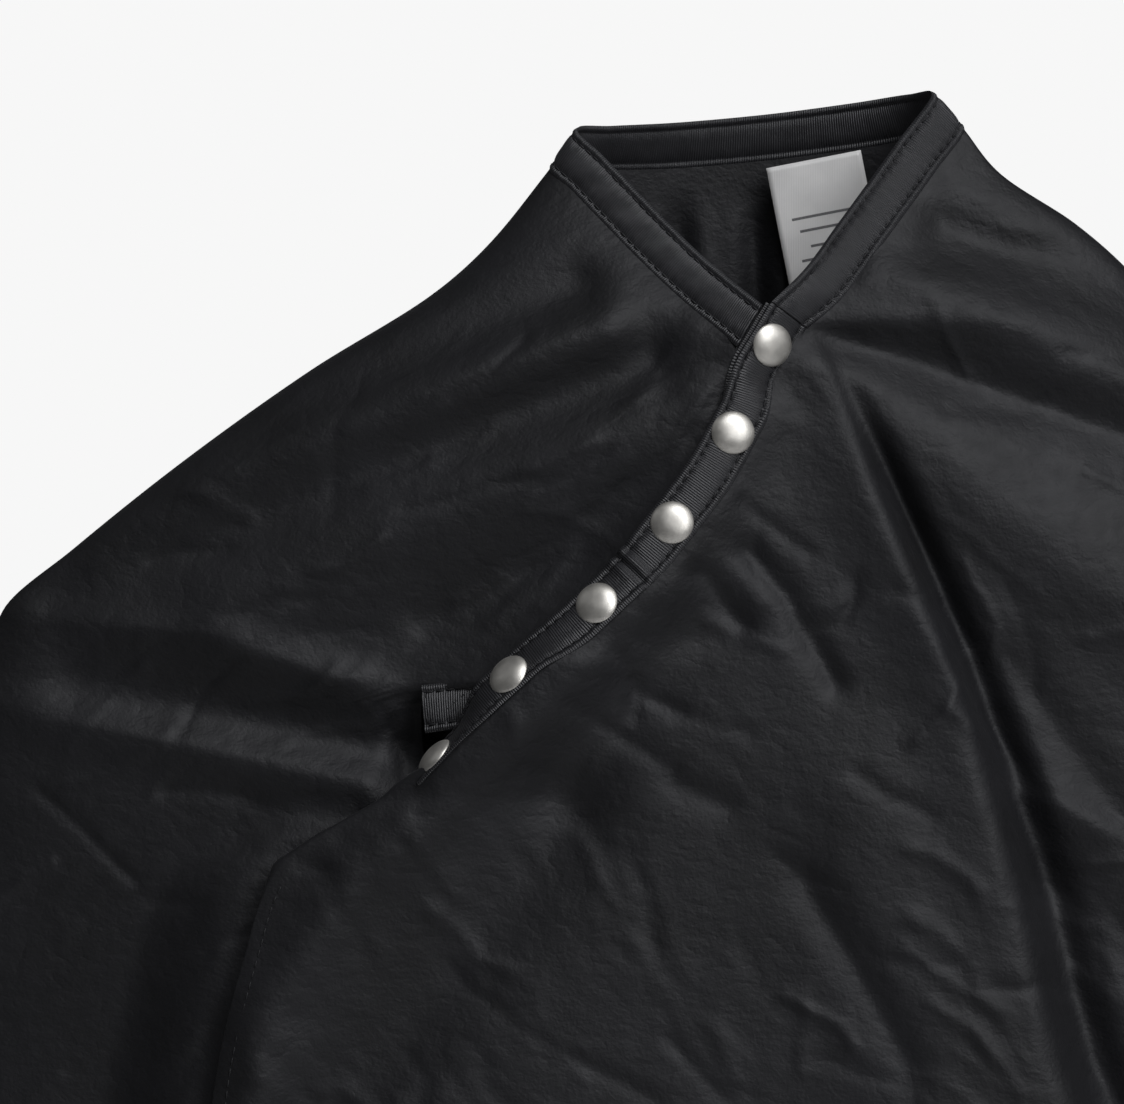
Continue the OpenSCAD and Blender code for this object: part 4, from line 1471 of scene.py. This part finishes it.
@dataclass
class CareLabel:
    """A white satin label sewn in under the back of the collar, with plain printed lines."""

    width: float = 34.0
    length: float = 58.0
    lean: float = -11.0
    rows: int = 30
    columns: int = 18

    def build(self) -> None:
        """Builds the tape and its print."""
        low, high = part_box("care_label")
        depth = (low.y + high.y) / 2 / MM
        a = math.radians(self.lean)
        right, down = vec(math.cos(a), 0, -math.sin(a)), vec(-math.sin(a), 0, -math.cos(a))
        corner = vec(low.x / MM, depth, high.z / MM - self.width * abs(math.sin(a)))
        s, t = np.meshgrid(np.linspace(0, 1, self.columns + 1), np.linspace(0, 1, self.rows + 1))
        curl = 1.4 * np.sin(math.pi * s) * t + 1.2 * t * t - 1.0 * np.sin(2.2 * math.pi * t) * t
        grid = (
            corner + s[..., None] * self.width * right + t[..., None] * self.length * down
            + curl[..., None] * vec(0, -1, 0)
        )
        piece = shell("care_label_tape", grid, Finish.LABEL, 0.25, Facing.FRONT)
        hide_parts("care_label")
        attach(piece, "care_label")
        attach(self.printing(grid), "care_label")
        LOG.info("care label: %.0f x %.0f mm", self.width, self.length)

    def printing(self, grid: Array) -> bpy.types.Object:
        """Plain printed bars, a hair above the tape."""
        points, faces = [], []
        lines = (
            (0.34, 0.16, 0.80), (0.42, 0.22, 0.86), (0.52, 0.30, 0.70), (0.60, 0.18, 0.62),
            (0.70, 0.24, 0.84), (0.78, 0.20, 0.55), (0.88, 0.30, 0.76),
        )
        for t, s0, s1 in lines:
            stops = np.linspace(s0, s1, 8)
            base = len(points)
            for s in stops:
                for dt in (-0.008, 0.008):
                    i, j = (t + dt) * self.rows, s * self.columns
                    i0, j0 = int(i), int(j)
                    fi, fj = i - i0, j - j0
                    upper = mix(grid[i0, j0], grid[i0, j0 + 1], fj)
                    lower = mix(grid[i0 + 1, j0], grid[i0 + 1, j0 + 1], fj)
                    points.append(mix(upper, lower, fi) + vec(0, -0.06, 0))
            for k in range(len(stops) - 1):
                q = base + 2 * k
                faces.append([q, q + 1, q + 3, q + 2])
        return make_mesh("label_print", np.array(points), faces, Finish.INK)


# ---------------------------------------------------------------- hem stitching


@dataclass
class HemStitching:
    """The row of stitches down the flap's free edge."""

    hang: Hang

    def build(self) -> None:
        """Sews the row from just below the flap's corner to the front hem."""
        h = self.hang
        z = np.linspace(h.corner[2] - 6, -h.front_len + 8, 260)
        x = h.flap_edge(z) + HEM_INSET
        fade = smooth(np.array([HEM_INSET / 8.0]))[0]
        y = h.flap_y(x, z) - CRUSH.height(x + 900, z, -55, 1.4) * fade
        path = np.stack([x, y - 0.05, z], axis=-1)
        slope = (h.flap_y(x + 1, z) - h.flap_y(x - 1, z)) / 2
        out = unit(np.stack([slope, -np.ones_like(x), np.zeros_like(x)], axis=-1))
        thread = Stitching("flap_hem_stitching", pitch=3.8, stitch=3.0).run(path, out).build()
        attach(thread, "front_flap")
        LOG.info("hem stitching: %.0f mm", h.corner[2] - 6 + h.front_len - 8)


# ---------------------------------------------------------------- studio


@dataclass
class Studio:
    """The camera, the soft lights and the pale floor."""

    aim: tuple = (-0.064, -0.045, -0.1525)
    distance: float = 3.0
    elevation: float = -2.0
    view_width: float = 0.3876
    floor_z: float = -1.62

    def camera(self) -> None:
        """A long lens, nearly level."""
        data = bpy.data.cameras.new("camera")
        data.sensor_width = 36.0
        data.lens = data.sensor_width * self.distance / self.view_width
        data.clip_end = 50.0
        obj = bpy.data.objects.new("camera", data)
        e = math.radians(self.elevation)
        back = Vector((0.0, -math.cos(e), math.sin(e)))
        obj.location = Vector(self.aim) + back * self.distance
        obj.rotation_euler = (-back).to_track_quat("-Z", "Y").to_euler()
        bpy.context.scene.collection.objects.link(obj)
        bpy.context.scene.camera = obj

    @staticmethod
    def softbox(name: str, at: tuple, size: tuple, radiance: float) -> None:
        """A soft rectangular light that looks at the collar, as bright as a wall of the given radiance."""
        data = bpy.data.lights.new(name, "AREA")
        data.shape, data.size, data.size_y = "RECTANGLE", *size
        data.energy = radiance * math.pi * size[0] * size[1]
        data.color = (0.955, 0.965, 1.0)
        obj = bpy.data.objects.new(name, data)
        obj.location = at
        obj.rotation_euler = (Vector((0, 0, -0.25)) - Vector(at)).to_track_quat("-Z", "Y").to_euler()
        bpy.context.scene.collection.objects.link(obj)

    def surroundings(self) -> None:
        """A pale room that lights the cape less than it shows."""
        world = bpy.data.worlds.new("studio")
        world.use_nodes = True
        nodes, links = world.node_tree.nodes, world.node_tree.links
        shown, lit = nodes["Background"], nodes.new("ShaderNodeBackground")
        shown.inputs["Color"].default_value = (0.93, 0.93, 0.93, 1)
        lit.inputs["Color"].default_value = (0.95, 0.97, 1.0, 1)
        lit.inputs["Strength"].default_value = 0.036
        blend, path = nodes.new("ShaderNodeMixShader"), nodes.new("ShaderNodeLightPath")
        links.new(path.outputs["Is Camera Ray"], blend.inputs[0])
        links.new(lit.outputs[0], blend.inputs[1])
        links.new(shown.outputs[0], blend.inputs[2])
        links.new(blend.outputs[0], nodes["World Output"].inputs["Surface"])
        bpy.context.scene.world = world
        bpy.context.scene.view_settings.view_transform = "Standard"

    def floor(self) -> None:
        """A plain pale floor below the hem."""
        size = 3.0
        mesh = bpy.data.meshes.new("floor")
        corners = ((-1, -1), (1, -1), (1, 1), (-1, 1))
        mesh.from_pydata([(x * size, y * size, self.floor_z) for x, y in corners], [], [(0, 1, 2, 3)])
        t = Tree("pale_floor")
        at = t.add("ShaderNodeTexCoord").outputs["Object"]
        greys = [(0.3, (0.80, 0.80, 0.80)), (0.7, (0.84, 0.84, 0.84))]
        t.shade(Base_Color=t.ramp(t.noise(at, 3.0), greys), Roughness=0.8)
        mesh.materials.append(t.material)
        obj = bpy.data.objects.new("floor", mesh)
        bpy.context.scene.collection.objects.link(obj)

    def build(self) -> None:
        """Sets the whole studio up."""
        self.camera()
        self.surroundings()
        self.floor()
        self.softbox("key_light", (0.65, -1.8, 2.3), (1.8, 1.4), 5.0)
        self.softbox("front_light", (1.6, -2.6, 1.05), (1.5, 1.8), 3.8)
        self.softbox("right_light", (2.8, -0.8, 0.9), (1.2, 1.8), 0.5)
        self.softbox("left_light", (-2.4, -0.3, 1.8), (1.0, 1.0), 0.4)
        self.softbox("back_light", (0.5, 3.0, 0.3), (1.6, 1.6), 2.4)


# ---------------------------------------------------------------- the whole cape


def write_sizes() -> None:
    """Updates the view layer."""
    bpy.context.view_layer.update()


def snap_places(hang: Hang) -> list:
    """Where each snap's upper and lower half is.

    Args:
        hang: how the cape hangs.

    Returns:
        (number, the cap's matrix, the stud's matrix) for each snap.
    """
    places = []
    for i in range(1, hang.snaps + 1):
        upper = frame_matrix(hang.snap_at(i), hang.snap_out(i), hang.snap_along(i))
        places.append((i, upper, upper))
    tab = Spline(NeckBinding.tab_points(hang))
    start, end = tab(0.12), tab(1.0)
    along = unit(end - start)
    out = square_to(unit(vec(-0.42, -0.84, 0.30)), along)
    loose = frame_matrix(mix(start, end, 0.54) - hang.under_face * out, out, along)
    places[-1] = (hang.snaps, places[-1][1], loose)
    return places


def main() -> None:
    """Builds the studio and then the cape, piece by piece."""
    logging.basicConfig(level=logging.INFO, format="%(message)s")
    Studio().build()
    binding = NeckBinding(HANG)
    binding.collar()
    binding.upper()
    binding.under()
    BackPanel(HANG).build()
    LeftFront(HANG).build()
    RightFront(HANG).build()
    HemStitching(HANG).build()
    for number, upper, lower in snap_places(HANG):
        PressSnap(number, upper, lower).build()
    CareLabel().build()
    write_sizes()


if __name__ == "__main__":
    main()
